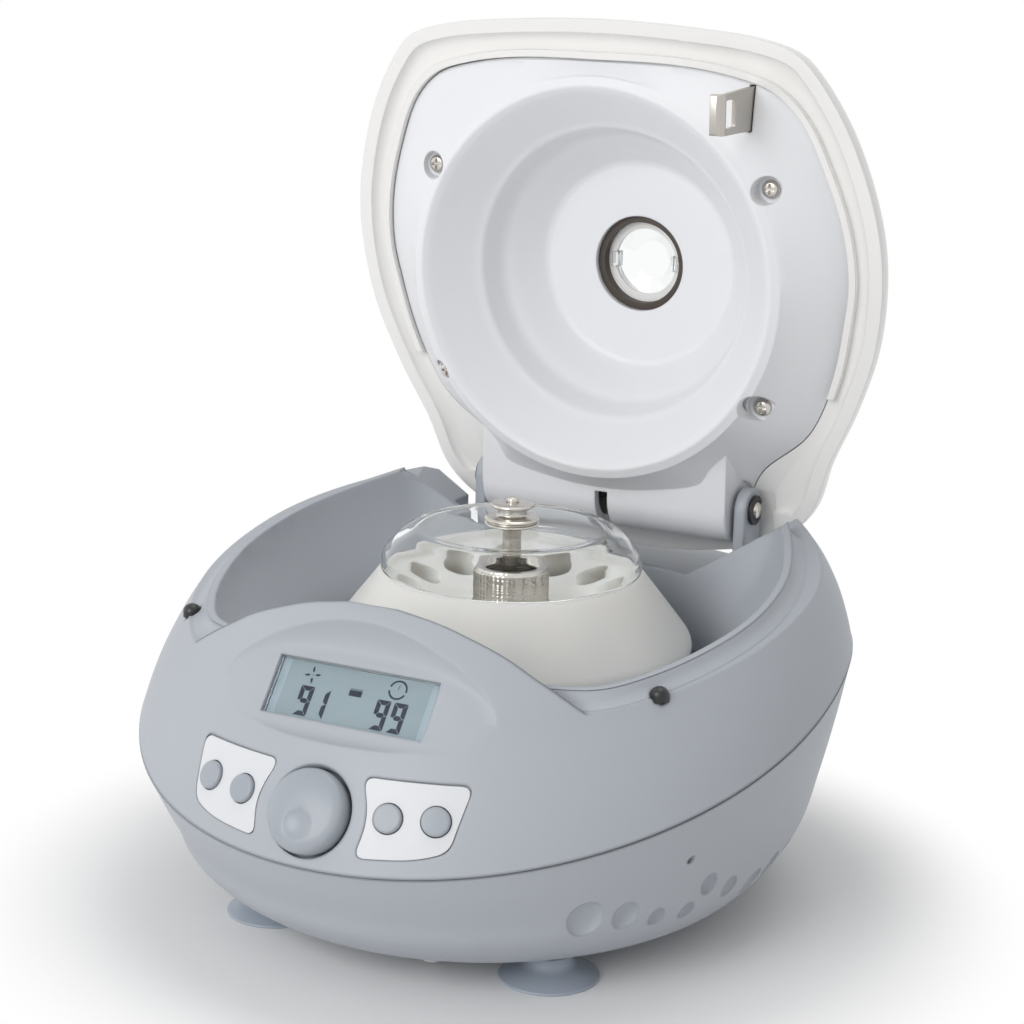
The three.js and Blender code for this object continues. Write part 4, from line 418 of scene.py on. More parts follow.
def housing_ring(rows, share, low, height, inset, slope, lift=0.0):
    """One level of a housing's skin, moved inwards by the inset."""
    width, front, rear = row_at(rows, share)
    ring = []
    for c, s in CIRCLE:
        reach = (front if s < 0 else rear) * HALF_DEPTH - inset
        x = math.copysign(abs(c) ** (2 / PLAN_POWER), c) * (width * HALF_WIDTH - inset)
        y = math.copysign(abs(s) ** (2 / PLAN_POWER), s) * reach
        ring.append((x, y, low + share * height + lift + SEAM_RISE * slope * levelled(y)))
    return ring


def lower_ring(share, inset=0.0, lift=0.0):
    return housing_ring(LOWER_ROWS, share, BASE, SEAM - BASE, inset, share, lift)


def upper_ring(share, inset=0.0, lift=0.0):
    return housing_ring(UPPER_ROWS, share, SEAM, HOOD, inset, 1, lift)


def rim_z(y):
    return RIM + SLOPE * y


def face_point(x, z):
    """The place on the hood's face at this X and Z."""
    near, far = -2 * HALF_DEPTH, 0.0
    for _ in range(40):
        y = (near + far) / 2
        share = (z - SEAM_RISE * levelled(y) - SEAM) / HOOD
        width, front, _rear = row_at(UPPER_ROWS, max(share, 0))
        across, deep = abs(x / (width * HALF_WIDTH)), abs(y / (front * HALF_DEPTH))
        if share > 1 or across ** PLAN_POWER + deep ** PLAN_POWER > 1:
            near = y
        else:
            far = y
    return Vector((x, far, z))


def face_normal(x, z):
    across = face_point(x + NEAR, z) - face_point(x - NEAR, z)
    rise = face_point(x, z + NEAR) - face_point(x, z - NEAR)
    return across.cross(rise).normalized()


def side_point(side, y, z):
    share = (z - BASE) / (SEAM - BASE)
    for _ in range(12):
        share = (z - BASE - SEAM_RISE * share * levelled(y)) / (SEAM - BASE)
    width, front, rear = row_at(LOWER_ROWS, share)
    reach = (front if y < 0 else rear) * HALF_DEPTH
    across = (1 - abs(y / reach) ** PLAN_POWER) ** (1 / PLAN_POWER)
    return Vector((side * across * width * HALF_WIDTH, y, z))


def side_normal(side, y, z):
    along = side_point(side, y + NEAR, z) - side_point(side, y - NEAR, z)
    rise = side_point(side, y, z + NEAR) - side_point(side, y, z - NEAR)
    return along.cross(rise).normalized() * side


LID_OUTLINE = (
    (0, -1), (0.366, -0.981), (0.59, -0.949), (0.717, -0.898), (0.788, -0.809), (0.895, -0.583),
    (0.98, -0.251), (1, 0.009), (0.969, 0.241), (0.885, 0.458), (0.793, 0.634), (0.722, 0.806),
    (0.58, 0.917), (0.305, 0.984), (0, 1),
)
LINER_OUTLINE = (
    (0, -0.828), (0.3, -0.822), (0.49, -0.79), (0.63, -0.735), (0.726, -0.62), (0.8, -0.427),
    (0.86, -0.19), (0.878, 0.02), (0.862, 0.14), (0.81, 0.35), (0.713, 0.54), (0.54, 0.68),
    (0.495, 0.76), (0.482, 0.885), (0.25, 0.896), (0, 0.898),
)
LID_HALF, LID_FRONT, LID_REAR = 98.3, 79.7, 108
CURVE_STEPS = 14


def closed_curve(shares):
    """A centripetal curve through the half outline and its mirror image."""
    half = [Vector((x * LID_HALF, y * (LID_FRONT if y < 0 else LID_REAR))) for x, y in shares]
    points = half + [Vector((-p.x, p.y)) for p in reversed(half[1:-1])]
    count = len(points)
    out = []
    for n in range(count):
        p = [points[(n + k - 1) % count] for k in range(4)]
        t = [0.0]
        for a, b in zip(p, p[1:]):
            t.append(t[-1] + (b - a).length ** 0.5)
        for k in range(CURVE_STEPS):
            u = t[1] + (t[2] - t[1]) * k / CURVE_STEPS
            row = p
            for knots in (((0, 1), (1, 2), (2, 3)), ((0, 2), (1, 3)), ((1, 2),)):
                row = [
                    a * ((t[j] - u) / (t[j] - t[i])) + b * ((u - t[i]) / (t[j] - t[i]))
                    for a, b, (i, j) in zip(row, row[1:], knots)
                ]
            out.append(row[0])
    return out


def radius_table(shares, inset):
    """The outline's distance from the rotor axis at each of the ring's angles, moved inwards."""
    curve = closed_curve(shares)
    polar = []
    for before, here, after in zip(curve[-1:] + curve, curve, curve[1:] + curve[:1]):
        along = (after - before).normalized()
        p = here + Vector((-along.y, along.x)) * inset
        polar.append((math.atan2(p.y - ROTOR_Y, p.x) % TURN, math.hypot(p.x, p.y - ROTOR_Y)))
    polar.sort()
    polar = [(polar[-1][0] - TURN, polar[-1][1])] + polar + [(polar[0][0] + TURN, polar[0][1])]
    out, k = [], 0
    for i in range(ROUND):
        angle = i / ROUND * TURN
        while polar[k + 1][0] < angle:
            k += 1
        (a0, r0), (a1, r1) = polar[k], polar[k + 1]
        out.append(r0 + (r1 - r0) * (angle - a0) / (a1 - a0))
    return out


def lid_radii(inset):
    return radius_table(LID_OUTLINE, inset)


def liner_radii(inset):
    return radius_table(LINER_OUTLINE, inset)


def polar_ring(radii, height, scale=1.0):
    """A ring round the rotor axis; its radii are a table or one value, its height a value or a rule."""
    ring = []
    for i, (c, s) in enumerate(CIRCLE):
        radius = (radii[i] if isinstance(radii, list) else radii) * scale
        x, y = radius * c, ROTOR_Y + radius * s
        ring.append((x, y, height(y) if callable(height) else height))
    return ring


def above_rim(rise):
    return lambda y: rim_z(y) + rise


def on_rotor_axis(name, points, soft, detail=5, steps=96):
    """A turned piece round the rotor's axis, with its profile's corners rounded."""
    return turned(name, points, ROTOR_AXIS, UP, steps, soft, detail)


def sheared(name, ring, low, high):
    """A ring drawn up between two heights over the lid's plane."""
    return loft(name, [[(x, y, rim_z(y) + d) for x, y, _z in ring] for d in (low, high)])


BOWL, BOWL_TOP = 70, 69.7
WELL_INSET, WELL_REAR, EAR = 8, 70.4, 0.743
RIDGE = 1
# Thickness of the housings' walls and of the well's, and the height of the deck behind the well
WALL, WELL_WALL, DECK = 3, 2.5, 91
# The lid's channel: its gap round the lid and its depth
GAP, LEDGE = 1.6, 3


def well_top():
    """The well's upper edge: the lid's outline moved inwards, and flatter at the rear."""
    table = lid_radii(WELL_INSET)
    out = []
    for outline, (c, s) in zip(table, CIRCLE):
        if s > 0:
            rear = WELL_REAR + (LID_HALF - WELL_INSET - WELL_REAR) * (c / EAR) ** 2
            outline = min(outline, rear)
        out.append(outline)
    for _ in range(3):
        out = [(out[i - 1] + 2 * out[i] + out[(i + 1) % ROUND]) / 4 for i in range(ROUND)]
    return out


WELL_TOP = well_top()
WELL_ROWS = (
    (0, 0), (0.04, 0.1), (0.12, 0.2), (0.27, 0.33), (0.45, 0.45), (0.64, 0.59), (0.8, 0.72),
    (0.92, 0.86), (1, 1),
)


def well(name, grow, rise):
    """The hollow from the round bowl up to the lid's outline."""
    rings = []
    for opened, up in WELL_ROWS:
        radii = [BOWL + grow + (top - BOWL) * opened for top in WELL_TOP]
        low = BOWL_TOP + 0.3
        rings.append(polar_ring(radii, lambda y, u=up: low + (rim_z(y) + RIDGE - low) * u))
    rings.append(polar_ring([top + grow for top in WELL_TOP], above_rim(RIDGE + rise)))
    return loft(name, rings)


# Upper housing

def lid_zone(grow, low):
    hood = sheared("lid_zone", polar_ring(lid_radii(-grow), 0), low, 90)
    corners = ((-FAR, -66), (FAR, -66), (FAR, FAR), (-FAR, FAR))
    rest = loft("lid_zone_rest", [[(x, y, rim_z(y) + d) for x, y in corners] for d in (low, 90)])
    return join(hood, [rest])


def ledge_slope():
    """The channel's floor, which falls from the well's rim to the foot of the outer ridge."""
    rows = (
        (1, -3.4), (1, -2.9), (3, -2.1), (4.5, -0.9), (5.2, 0.7), (6.5, 0.7), (6.5, -3.4), (1, -3.4),
    )
    rings = [polar_ring(lid_radii(inset), above_rim(rise)) for inset, rise in rows]
    slope = loft("ledge_slope", rings, caps=False)
    return combine(slope, [block("ledge_end", (-FAR, 60, -FAR), (FAR, FAR, FAR))])


def rear_cuts():
    """The low saddle between the ears of the well's rear wall, and the deck behind it."""
    ear_x, ear_z, out = LID_HALF * EAR, 119, 25
    outline = (
        (-34, 94), (34, 94), (ear_x, ear_z), (ear_x + out, ear_z + out * 2),
        (-ear_x - out, ear_z + out * 2), (-ear_x, ear_z),
    )
    saddle = prism("saddle", outline, "Y", 58, FAR)
    return join(saddle, [block("deck", (-FAR, 82, DECK), (FAR, FAR, FAR))])


DIAL_FACE = Vector((0, -120.25, 65.02))
DIAL_TILT = math.radians(30.7)
DIAL_AXIS = Vector((0, -math.cos(DIAL_TILT), math.sin(DIAL_TILT)))
DISPLAY_CENTRE = Vector((0, -94.05, 91.35))
DISPLAY_TILT = math.radians(38.4)
DISPLAY_AXIS = Vector((0, -math.cos(DISPLAY_TILT), math.sin(DISPLAY_TILT)))
DISPLAY_UP = Vector((0, math.sin(DISPLAY_TILT), math.cos(DISPLAY_TILT)))
# Half the width and height of the display's opening
OPENING = (27.5, 9.3)
# The keys' X and Z, the radius of their caps, and that of their holes
KEYS = {
    "select_button": (-38.5, 64.6), "pulse_button": (-24.9, 64.2),
    "lid_button": (24.6, 64.4), "start_button": (38.2, 64.8),
}
KEY, KEY_HOLE = 4.3, 4.6


def on_display(x, v, out):
    return DISPLAY_CENTRE + ACROSS * x + DISPLAY_UP * v + DISPLAY_AXIS * out


def display_block(name, half_width, half_height, low, high):
    corners = (
        (-half_width, -half_height), (half_width, -half_height),
        (half_width, half_height), (-half_width, half_height),
    )
    return loft(name, [[on_display(x, v, out) for x, v in corners] for out in (low, high)])


def recess_ring(half_width, top, bottom, out):
    """The floor is flat behind the display and bends back with the hood beside it."""
    ring = []
    for c, s in CIRCLE:
        across, power, reach = (0.75, 0.42, bottom) if s < 0 else (0.85, 1, top)
        x = half_width * math.copysign(abs(c) ** across, c)
        beside = max(abs(x) - 26, 0)
        bend = 0.26 * beside ** 2 / (beside + 6)
        ring.append(on_display(x, math.copysign(abs(s) ** power, s) * reach, out - bend))
    return ring


def display_recess():
    """The floor, drawn out from its middle, and the wall, which flares ever more steeply."""
    half_width, top, bottom = 46.5, 13, 12.4
    flare = (
        (0, 0), (0.1, 0.02), (0.22, 0.07), (0.35, 0.15), (0.5, 0.28), (0.62, 0.42), (0.74, 0.58),
        (0.85, 0.75), (1, 1),
    )
    shares = (0.05, 0.2, 0.4, 0.55, 0.7, 0.8, 0.9)
    rings = [recess_ring(half_width * s, top * s, bottom * s, 0) for s in shares]
    rings += [recess_ring(half_width + 5 * o, top + 9.5 * o, bottom + 7.1 * o, 9 * up) for o, up in flare]
    rings.append([p + DISPLAY_AXIS * 15 for p in rings[-1]])
    return loft("display_recess", rings)


def plate_outline(side, grow):
    """A key plate's outline in front view, as X and Z, made of corners that are then rounded."""
    inner_x, outer_x, top, foot = 17 - grow, 45.8 + grow, 74 + grow, 53 - grow
    corners = [
        (inner_x - 2.4, top), (outer_x, top + grow), (outer_x - 2.4, 57 - grow),
        ((inner_x + outer_x) / 2 + 3, foot + 1.2), (inner_x, foot), (inner_x + 2.2, (top + foot) / 2),
    ]
    sizes = [3.4, 3.4, 3.4, 7, 3.4, 9]
    out = []
    for i, corner in enumerate(corners):
        b = Vector(corner)
        a, c = Vector(corners[i - 1]), Vector(corners[(i + 1) % len(corners)])
        start = b + (a - b).normalized() * min(sizes[i], (a - b).length * 0.48)
        end = b + (c - b).normalized() * min(sizes[i], (c - b).length * 0.48)
        for k in range(9):
            t = k / 8
            out.append(start * (1 - t) ** 2 + b * 2 * t * (1 - t) + end * t ** 2)
    return [Vector((p.x * side, p.y)) for p in out]


def hood_skin(name, inset):
    return loft(name, [upper_ring(i / 24 * 0.6, inset) for i in range(25)])


def plate(name, side, grow, outer, inner):
    blank = prism(name, plate_outline(side, grow), "Y", -2 * HALF_DEPTH, -98)
    keep_within(blank, [hood_skin("outer_skin", outer)])
    return combine(blank, [hood_skin("inner_skin", inner)])


def key_rod(name, key, radius, low, high, soft=0.0):
    x, z = KEYS[key]
    return turned(name, rod(radius, low, high), face_point(x, z), face_normal(x, z), 64, soft, 6)


BUMPERS = {"bumper_left": (-82.5, -56, 0), "bumper_right": (82.5, -56, 0)}


def upper_housing():
    steps = [i / 56 for i in range(57)]
    body = loft("upper_housing_shell", [upper_ring(s, lift=0.3 if s == 0 else 0) for s in steps])
    hollow = loft("hollow", [upper_ring(s, WALL, -WALL * s) for s in steps[::4]])
    under = loft("under", [upper_ring(0, WALL, -6), upper_ring(0, WALL, 0)])
    join(hollow, [under])
    combine(hollow, [
        lid_zone(GAP + WALL, -LEDGE - WALL), well("grown_well", WELL_WALL, 0),
        block("rear_solid", (-FAR, 55, DECK - WALL), (FAR, FAR, FAR)),
    ])
    combine(body, [lid_zone(GAP, -LEDGE)])
    join(body, [well("well_wall", WELL_WALL, 0), ledge_slope()])
    pocket = block("pocket", (-57, 58, DECK), (57, FAR, FAR), 2.0)
    combine(pocket, [well("kept_well", WELL_WALL, 0)])
    combine(body, [well("well", 0, 30), hollow, rear_cuts(), pocket])
    combine(body, [
        block("latch_pocket", (48.6, -62.9, 69.7), (57.9, -43.7, 108), 1.0),
        block("bolt_way", (55, -56.8, 77), (61.5, -49.8, 82)),
    ])
    behind_display = display_block("behind_display", 50, 25, -3, 15)
    behind_dial = turned("behind_dial", rod(17.2, -13.4, 0), DIAL_FACE, DIAL_AXIS)
    join(behind_display, [behind_dial])
    keep_within(behind_display, [loft("inner", [upper_ring(s, 1.5) for s in steps[::4]])])
    combine(behind_display, [lid_zone(GAP, -LEDGE), well("near_well", WELL_WALL / 2, 30)])
    join(body, [behind_display])
    dial_recess = softened(
        [(0, -10.4), (13.2, -10.4), (13.4, -5.6), (14.7, -2.6), (17.2, 0.2), (23, 4)], 1.2
    ) + [(0, 4)]
    cuts = [
        display_recess(), display_block("display_hole", *OPENING, -20, 20),
        turned("dial_recess", dial_recess, DIAL_FACE, DIAL_AXIS, steps=128),
        turned("dial_hole", rod(3.3, -30, 0), DIAL_FACE, DIAL_AXIS, steps=48),
    ]
    cuts += [key_rod(name + "_hole", name, KEY_HOLE, -15, 15) for name in KEYS]
    cuts += [plate("seat_%d" % side, side, 0.25, -15, 1) for side in (-1, 1)]
    for place in BUMPERS.values():
        cuts.append(turned("stud_hole", rod(1.9, 78, 108), place, steps=32))
        cuts.append(turned("bumper_seat", rod(2.95, 93.3, 108), place, steps=48))
    return combine(body, cuts, angle=30)


housing_top = upper_housing()
stands_for(housing_top, "upper_housing", "housing", housing_abs)


# Lower housing

JACK = Vector((16, 0, 43))
PLUG = (16, -71, 0)
VENTS = (
    (-80, 31.5, 5.6), (-69.5, 30.3, 4.3), (-59, 27.2, 2.9), (-48, 26.2, 2.9), (-43.5, 34.4, 3.2),
    (-32, 29.6, 3.3), (-16, 25.6, 4.6), (-4, 27.6, 4.2), (9, 27.2, 4),
)
FEET = {
    "foot_front_left": (-49.7, -57.9), "foot_front_right": (49.7, -57.9),
    "foot_rear_left": (-49.7, 74), "foot_rear_right": (49.7, 74),
}


def vent(side, y, z, radius):
    """One oval thumb-print in the side wall."""
    bm = bmesh.new()
    bmesh.ops.create_uvsphere(bm, u_segments=40, v_segments=20, radius=radius)
    bmesh.ops.scale(bm, verts=bm.verts, vec=(1, 1.25, 2.4 / radius))
    normal = side_normal(side, y, z)
    along = UP.cross(normal).normalized()
    turn = Matrix((along, normal.cross(along), normal)).transposed().to_4x4()
    bmesh.ops.transform(bm, verts=bm.verts, matrix=Matrix.Translation(side_point(side, y, z)) @ turn)
    return new_piece("vent", bm)


def lower_housing():
    steps = [0, 0.008, 0.018, 0.03, 0.045, 0.062, 0.08, 0.1] + [0.1 + 0.9 * i / 28 for i in range(1, 29)]
    body = loft("lower_housing_shell", [lower_ring(s, lift=-0.3 if s == 1 else 0) for s in steps])
    inside_steps = (0.05, 0.1, 0.25, 0.5, 0.75, 1)
    inside = loft("inside", [lower_ring(s, WALL) for s in inside_steps] + [lower_ring(1, WALL, WALL)])
    combine(body, [inside])
    panel = loft("panel", [lower_ring(s, 0.0) for s in steps[4:-6]])
    keep_within(panel, [block("panel_block", (-35, 104, 27), (35, FAR, 59))])
    join(body, [panel])
    cuts = [
        block("panel_recess", (-32, 107, 30), (32, FAR, 56), 1.5),
        turned("jack_hole", rod(5.3, 77, 137), JACK, REARWARDS, steps=48),
        block("switch_hole", (-21.3, 77, 36.7), (-2.7, 137, 49.3)),
        turned("plug_hole", rod(3.5, -30, 40), PLUG, steps=40),
        turned("pin_hole", rod(1.35, -6, 6), side_point(1, -56.3, 46.5), ACROSS, steps=32),
    ]
    cuts += [vent(side, y, z, radius) for side in (-1, 1) for y, z, radius in VENTS]
    return combine(body, cuts, angle=28)


housing_bottom = lower_housing()
stands_for(housing_bottom, "lower_housing", "housing", housing_abs)

bowl = on_rotor_axis("bowl", [
    (9, 54), (65, 54), (73, 62), (73, 69.7), (70, 69.7), (70, 65), (62, 57), (9, 57), (9, 54),
], 1.2, steps=160)
stands_for(bowl, "chamber_bowl", "housing", seat_abs)


# Feet, bumpers and the release plug

for name, (x, y) in FEET.items():
    cup = turned(name + "_cup", [
        (0, 3.2), (9, 1.9), (14.2, 0), (15.7, 0), (15.6, 0.8), (12.6, 2.3), (8.3, 4.1), (7.2, 5.6),
        (7.2, 8), (0, 8),
    ], (x, y, 0), soft=0.9)
    stands_for(cup, name, "housing", cup_rubber)

for name, place in BUMPERS.items():
    crown = [(2.9 * c, 95.2 + 2.7 * s) for c, s in arc(1, 0, 80, 8)]
    foot = softened([(0, 88.9), (1.6, 88.9), (1.6, 93.5), (2.9, 93.5), (2.9, 95.1)], 0.15)
    dome = turned(name + "_dome", foot + crown + [(0, 97.9)], place, steps=48)
    stands_for(dome, name, "housing", bumper_rubber)

plug = turned("plug_rod", [
    (0, 2.8), (3.0, 2.8), (3.2, 3.2), (3.2, 13.7), (4.6, 13.7), (4.6, 15.3), (0, 15.3),
], PLUG, steps=48, soft=0.3)
stands_for(plug, "release_plug", "release_plug", plate_abs)


# Rotor, nut, clear cover and its knob

def rotor():
    body = on_rotor_axis("rotor_cone", [
        (0, 63.5), (45.6, 63.5), (52.8, 67.1), (57.9, 73.5), (59.7, 79.9), (60, 83.5), (59.1, 85.9),
        (51.6, 95.7), (45.3, 103.7), (42.8, 107), (40.7, 107), (40.7, 104.4), (38.1, 104.4), (21, 94),
        (0, 94),
    ], 2.2, 6, 192)
    cuts = [turned("rotor_bore", rod(4.3, 40, 140), ROTOR_AXIS, steps=48)]
    for i in range(12):
        out = Vector((math.cos(i / 12 * TURN), math.sin(i / 12 * TURN), 0))
        aim = (out - UP).normalized()
        place = out * 32 + Vector((0, ROTOR_Y, 101))
        tube = turned_mesh(softened([(0, -5.6), (5.6, -5.6), (5.6, 25), (2.2, 30), (0, 30)], 1.5), 48)
        cuts.append(new_piece("tube_hole", aimed(tube, place, aim)))
    return combine(body, cuts, angle=35)


cone = rotor()
stands_for(cone, "rotor_body", "rotor", rotor_pp)


def nut():
    """The knurl is a fine diamond: two sets of slanted grooves drawn as pushed-in vertices."""
    bottom, top, floor = 94.3, 108.5, 100.0
    outer, knurl, chamfered = 12.5, 0.5, 11.4
    rows, count = 36, 150
    turns = [(math.cos(i / count * TURN), math.sin(i / count * TURN)) for i in range(count)]
    rings = []
    for k in range(rows + 1):
        z = bottom + 1 + (top - bottom - 2) * k / rows
        ring = []
        for i, (c, s) in enumerate(turns):
            grooves = abs(math.sin(math.pi * (i + k) / 3)) + abs(math.sin(math.pi * (i - k) / 3))
            radius = outer - knurl + knurl * grooves / 2 - (knurl if k in (0, rows) else 0)
            ring.append((radius * c, radius * s + ROTOR_Y, z))
        rings.append(ring)
    low, high = [[(chamfered * c, chamfered * s + ROTOR_Y, z) for c, s in turns] for z in (bottom, top)]
    body = loft("knurled_nut", [low] + rings + [high])
    hollow = on_rotor_axis("nut_hollow", [
        (0, floor), (8.2, floor), (8.2, 107.6), (9.4, 108.7), (9.4, 112), (0, 112),
    ], 0.3)
    bore = turned("nut_bore", rod(4.3, 80, 120), ROTOR_AXIS, steps=48)
    return combine(body, [hollow, bore], angle=50)


knurled = nut()
stands_for(knurled, "rotor_nut", "nut", turned_steel)

cover = on_rotor_axis("clear_cover", [
    (3.4, 119.6), (30.8, 119.6), (38.4, 114.2), (40.6, 111.4), (41.0, 110.2), (41.0, 107.3), (42.8, 107.3),
    (42.8, 111.0), (41.6, 113.6), (36.2, 119.0), (31.7, 121.4), (3.4, 121.4), (3.4, 119.6),
], 1.2, 6, 192)
stands_for(cover, "rotor_cover", "cover", cover_polycarbonate)

knob = on_rotor_axis("cover_knob_turned", [
    (2.15, 119.6), (2.15, 105.5), (3.1, 105.5), (3.1, 121.7), (8.6, 121.7), (9.15, 122.2), (8.6, 122.7),
    (8.1, 122.8), (8.1, 123.2), (8.6, 123.3), (9.15, 123.8), (8.4, 124.5), (5.6, 124.6), (4.75, 125.2),
    (4.75, 127.4), (6.8, 127.6), (7.2, 128.1), (7.0, 128.8), (5.2, 129.2), (2.4, 129.2), (2.15, 128.9),
    (2.15, 119.6),
], 0.22, 3)
stands_for(knob, "cover_knob", "cover_knob", turned_steel)

pin = on_rotor_axis("press_pin", [
    (0, 123.8), (1.85, 123.8), (1.85, 130.2), (1.3, 130.9), (0, 131),
], 0.5, steps=48)
stands_for(pin, "cover_pin", "cover_pin", turned_steel)


# Front panel: display, keys, plates and dial

for side, name in ((-1, "left_key_plate"), (1, "right_key_plate")):
    made = plate(name + "_face", side, 0, -0.1, 0.7)
    keys_here = [key for key, place in KEYS.items() if place[0] * side > 0]
    combine(made, [key_rod("opening", key, KEY_HOLE, -15, 15) for key in keys_here])
    stands_for(made, name, "housing", plate_abs)

for name in KEYS:
    cap = key_rod(name + "_cap", name, KEY, -4, 1.3, soft=0.8)
    stands_for(cap, name, name, key_abs)


def segment_shapes():
    """The bars that the digits here need, from a digit's lower left corner."""
    # Width, height, stroke, gap and the middle's height
    w, h, t, g = 4.6, 9.5, 1.5, 0.1
    m = h / 2
    top = [(g, h), (w - g, h), (w - t - g, h - t), (t + g, h - t)]
    upper = [(w, h - g), (w, m + g), (w - t / 2, m + g), (w - t, m + t / 2 + g), (w - t, h - t - g)]
    middle = [(t / 2 + g, m), (t + g, m + t / 2), (w - t - g, m + t / 2)]
    middle += [(w - x, h - y) for x, y in middle]
    return {
        "top": top, "middle": middle, "bottom": [(x, h - y) for x, y in top],
        "upper_right": upper, "lower_right": [(x, h - y) for x, y in upper],
        "upper_left": [(w - x, y) for x, y in upper],
    }


def thin_marks(name, outlines, low, high):
    """Flat marks on the crystal, as one piece."""
    bm = bmesh.new()
    for outline in outlines:
        rings = [[on_display(x, v, out) for x, v in outline] for out in (low, high)]
        mesh = as_mesh("mark", loft_mesh(rings))
        bm.from_mesh(mesh)
        bpy.data.meshes.remove(mesh)
    return new_piece(name, bm)


def arc_mark(x, v, inner, outer, start, end):
    return arc(outer, start, end, 24, (x, v)) + arc(inner, end, start, 24, (x, v))


def crystal_marks():
    """Two numbers with a bar between them, and a small fan and a small clock above them."""
    bars = segment_shapes()
    nine = ("top", "middle", "bottom", "upper_right", "lower_right", "upper_left")
    one = ("upper_right", "lower_right")
    outlines = []
    for corner, lit in ((-18.2, nine), (-12.6, one), (8.1, nine), (13.9, nine)):
        outlines += [[(corner + x, -7.9 + y) for x, y in bars[bar]] for bar in lit]
    outlines.append([(-2.0, 1.0), (2.3, 1.0), (2.3, 2.9), (-2.0, 2.9)])
    outlines.append([(-2.0, 3.15), (2.3, 3.15), (2.3, 3.35), (-2.0, 3.35)])
    blade = ((0.8, -0.12), (1.5, -0.42), (2.85, -0.1), (2.2, 0.36), (1.2, 0.32))
    fan = (-15.9, 5.2)
    for k in range(4):
        c, s = math.cos(k * TURN / 4 + 0.12), math.sin(k * TURN / 4 + 0.12)
        outlines.append([(fan[0] + x * c - y * s, fan[1] + x * s + y * c) for x, y in blade])
    outlines.append(arc(0.2, 0, 315, 7, fan))
    outlines += [arc_mark(13.4, 5.4, 2.5, 3.1, start, end) for start, end in ((-8, 165), (190, 335))]
    outlines.append([(13.3, 5.4), (13.5, 5.4), (13.75, 7.1), (13.6, 7.1)])
    return thin_marks("lit_segments", outlines, -2.49, -2.44)


crystal = display_block("crystal_block", 27.2, 9.0, -7.0, -2.5)
stands_for(crystal, "display_module", "housing", crystal_glass)
extra(crystal_marks(), "housing", crystal_segment)
margins = [
    [(side * 24.3, -8.9), (side * 27.1, -8.9), (side * 27.1, 8.9), (side * 24.3, 8.9)] for side in (-1, 1)
]
extra(thin_marks("seal_margin", margins, -2.49, -2.46), "housing", crystal_seal)


def dial():
    body = turned("dial_body", softened([
        (3.15, -9.5), (11.4, -9.5), (12.5, -7.0), (12.68, -2.6), (12.0, -0.9), (10.1, 0), (6.3, 0.8),
        (0, 1.1),
    ], 1.6, 6) + [(0, -4.7), (3.15, -4.7), (3.15, -9.5)], DIAL_FACE, DIAL_AXIS, steps=128)
    ball = 5.3 ** 2 / 1.2 / 2 + 0.6
    down = DIAL_AXIS.cross(ACROSS).normalized() * -1
    centre = DIAL_FACE + DIAL_AXIS * (0.82 + ball - 1.2) + down * 5.8
    bm = bmesh.new()
    bmesh.ops.create_uvsphere(bm, u_segments=96, v_segments=64, radius=ball)
    bmesh.ops.translate(bm, verts=bm.verts, vec=centre)
    return combine(body, [new_piece("thumb", bm)], angle=50)


turning_dial = dial()
stands_for(turning_dial, "control_knob", "control_knob", key_abs)


# Lid, made shut and turned open about the hinge

HINGE = Vector((0, 86.03, 116.83))
# The hinge barrel's radius and half its length, and the radius of the holes for the pin
BARREL, BARREL_HALF, PIN_HOLE = 12, 47, 3.2
OPEN = math.radians(88.36)
HINGE_PLACE = (HINGE + Vector((0, WIDEST, 0))) * MM
OPENED = (
    Matrix.Translation(HINGE_PLACE) @ Matrix.Rotation(-OPEN, 4, "X") @ Matrix.Translation(-HINGE_PLACE)
)


def swing_open(piece):
    piece.data.transform(OPENED)
    return piece


DOME = (
    (1, 0), (1, 0.1), (0.988, 0.24), (0.955, 0.39), (0.89, 0.55), (0.78, 0.71), (0.63, 0.83), (0.43, 0.93),
    (0.2, 0.985),
)
DOME_INNER = (
    (0.957, 0.19), (0.93, 0.33), (0.862, 0.49), (0.755, 0.64), (0.61, 0.76), (0.42, 0.86), (0.2, 0.915),
)
LID_HEIGHT = 37.9


def curve_rows(rows, steps=5):
    """More rows along a table, on the same smooth curve."""
    out = []
    for i in range(len(rows) - 1):
        p = [Vector(rows[max(min(i + k - 1, len(rows) - 1), 0)]) for k in range(4)]
        for k in range(steps):
            t = k / steps
            out.append(tuple(0.5 * (
                2 * p[1] + (p[2] - p[0]) * t + (2 * p[0] - 5 * p[1] + 4 * p[2] - p[3]) * t * t
                + (3 * p[1] - p[0] - 3 * p[2] + p[3]) * t ** 3
            )))
    out.append(rows[-1])
    return out


def hinge_rod(name, radius, half_length, steps=64, soft=0.0):
    return turned(name, rod(radius, -half_length, half_length), HINGE, ACROSS, steps, soft)


def hinge_notches():
    """Room at both ends of the barrel for the brackets and their clips."""
    out = []
    for side in (-1, 1):
        x0, x1 = sorted((side * 47.3, side * 57.0))
        out.append(turned("notch", rod(9.6, x0, x1), HINGE, ACROSS, steps=64))
        out.append(block("notch_box", (x0, HINGE.y, 0), (x1, FAR, 125.2)))
    return out


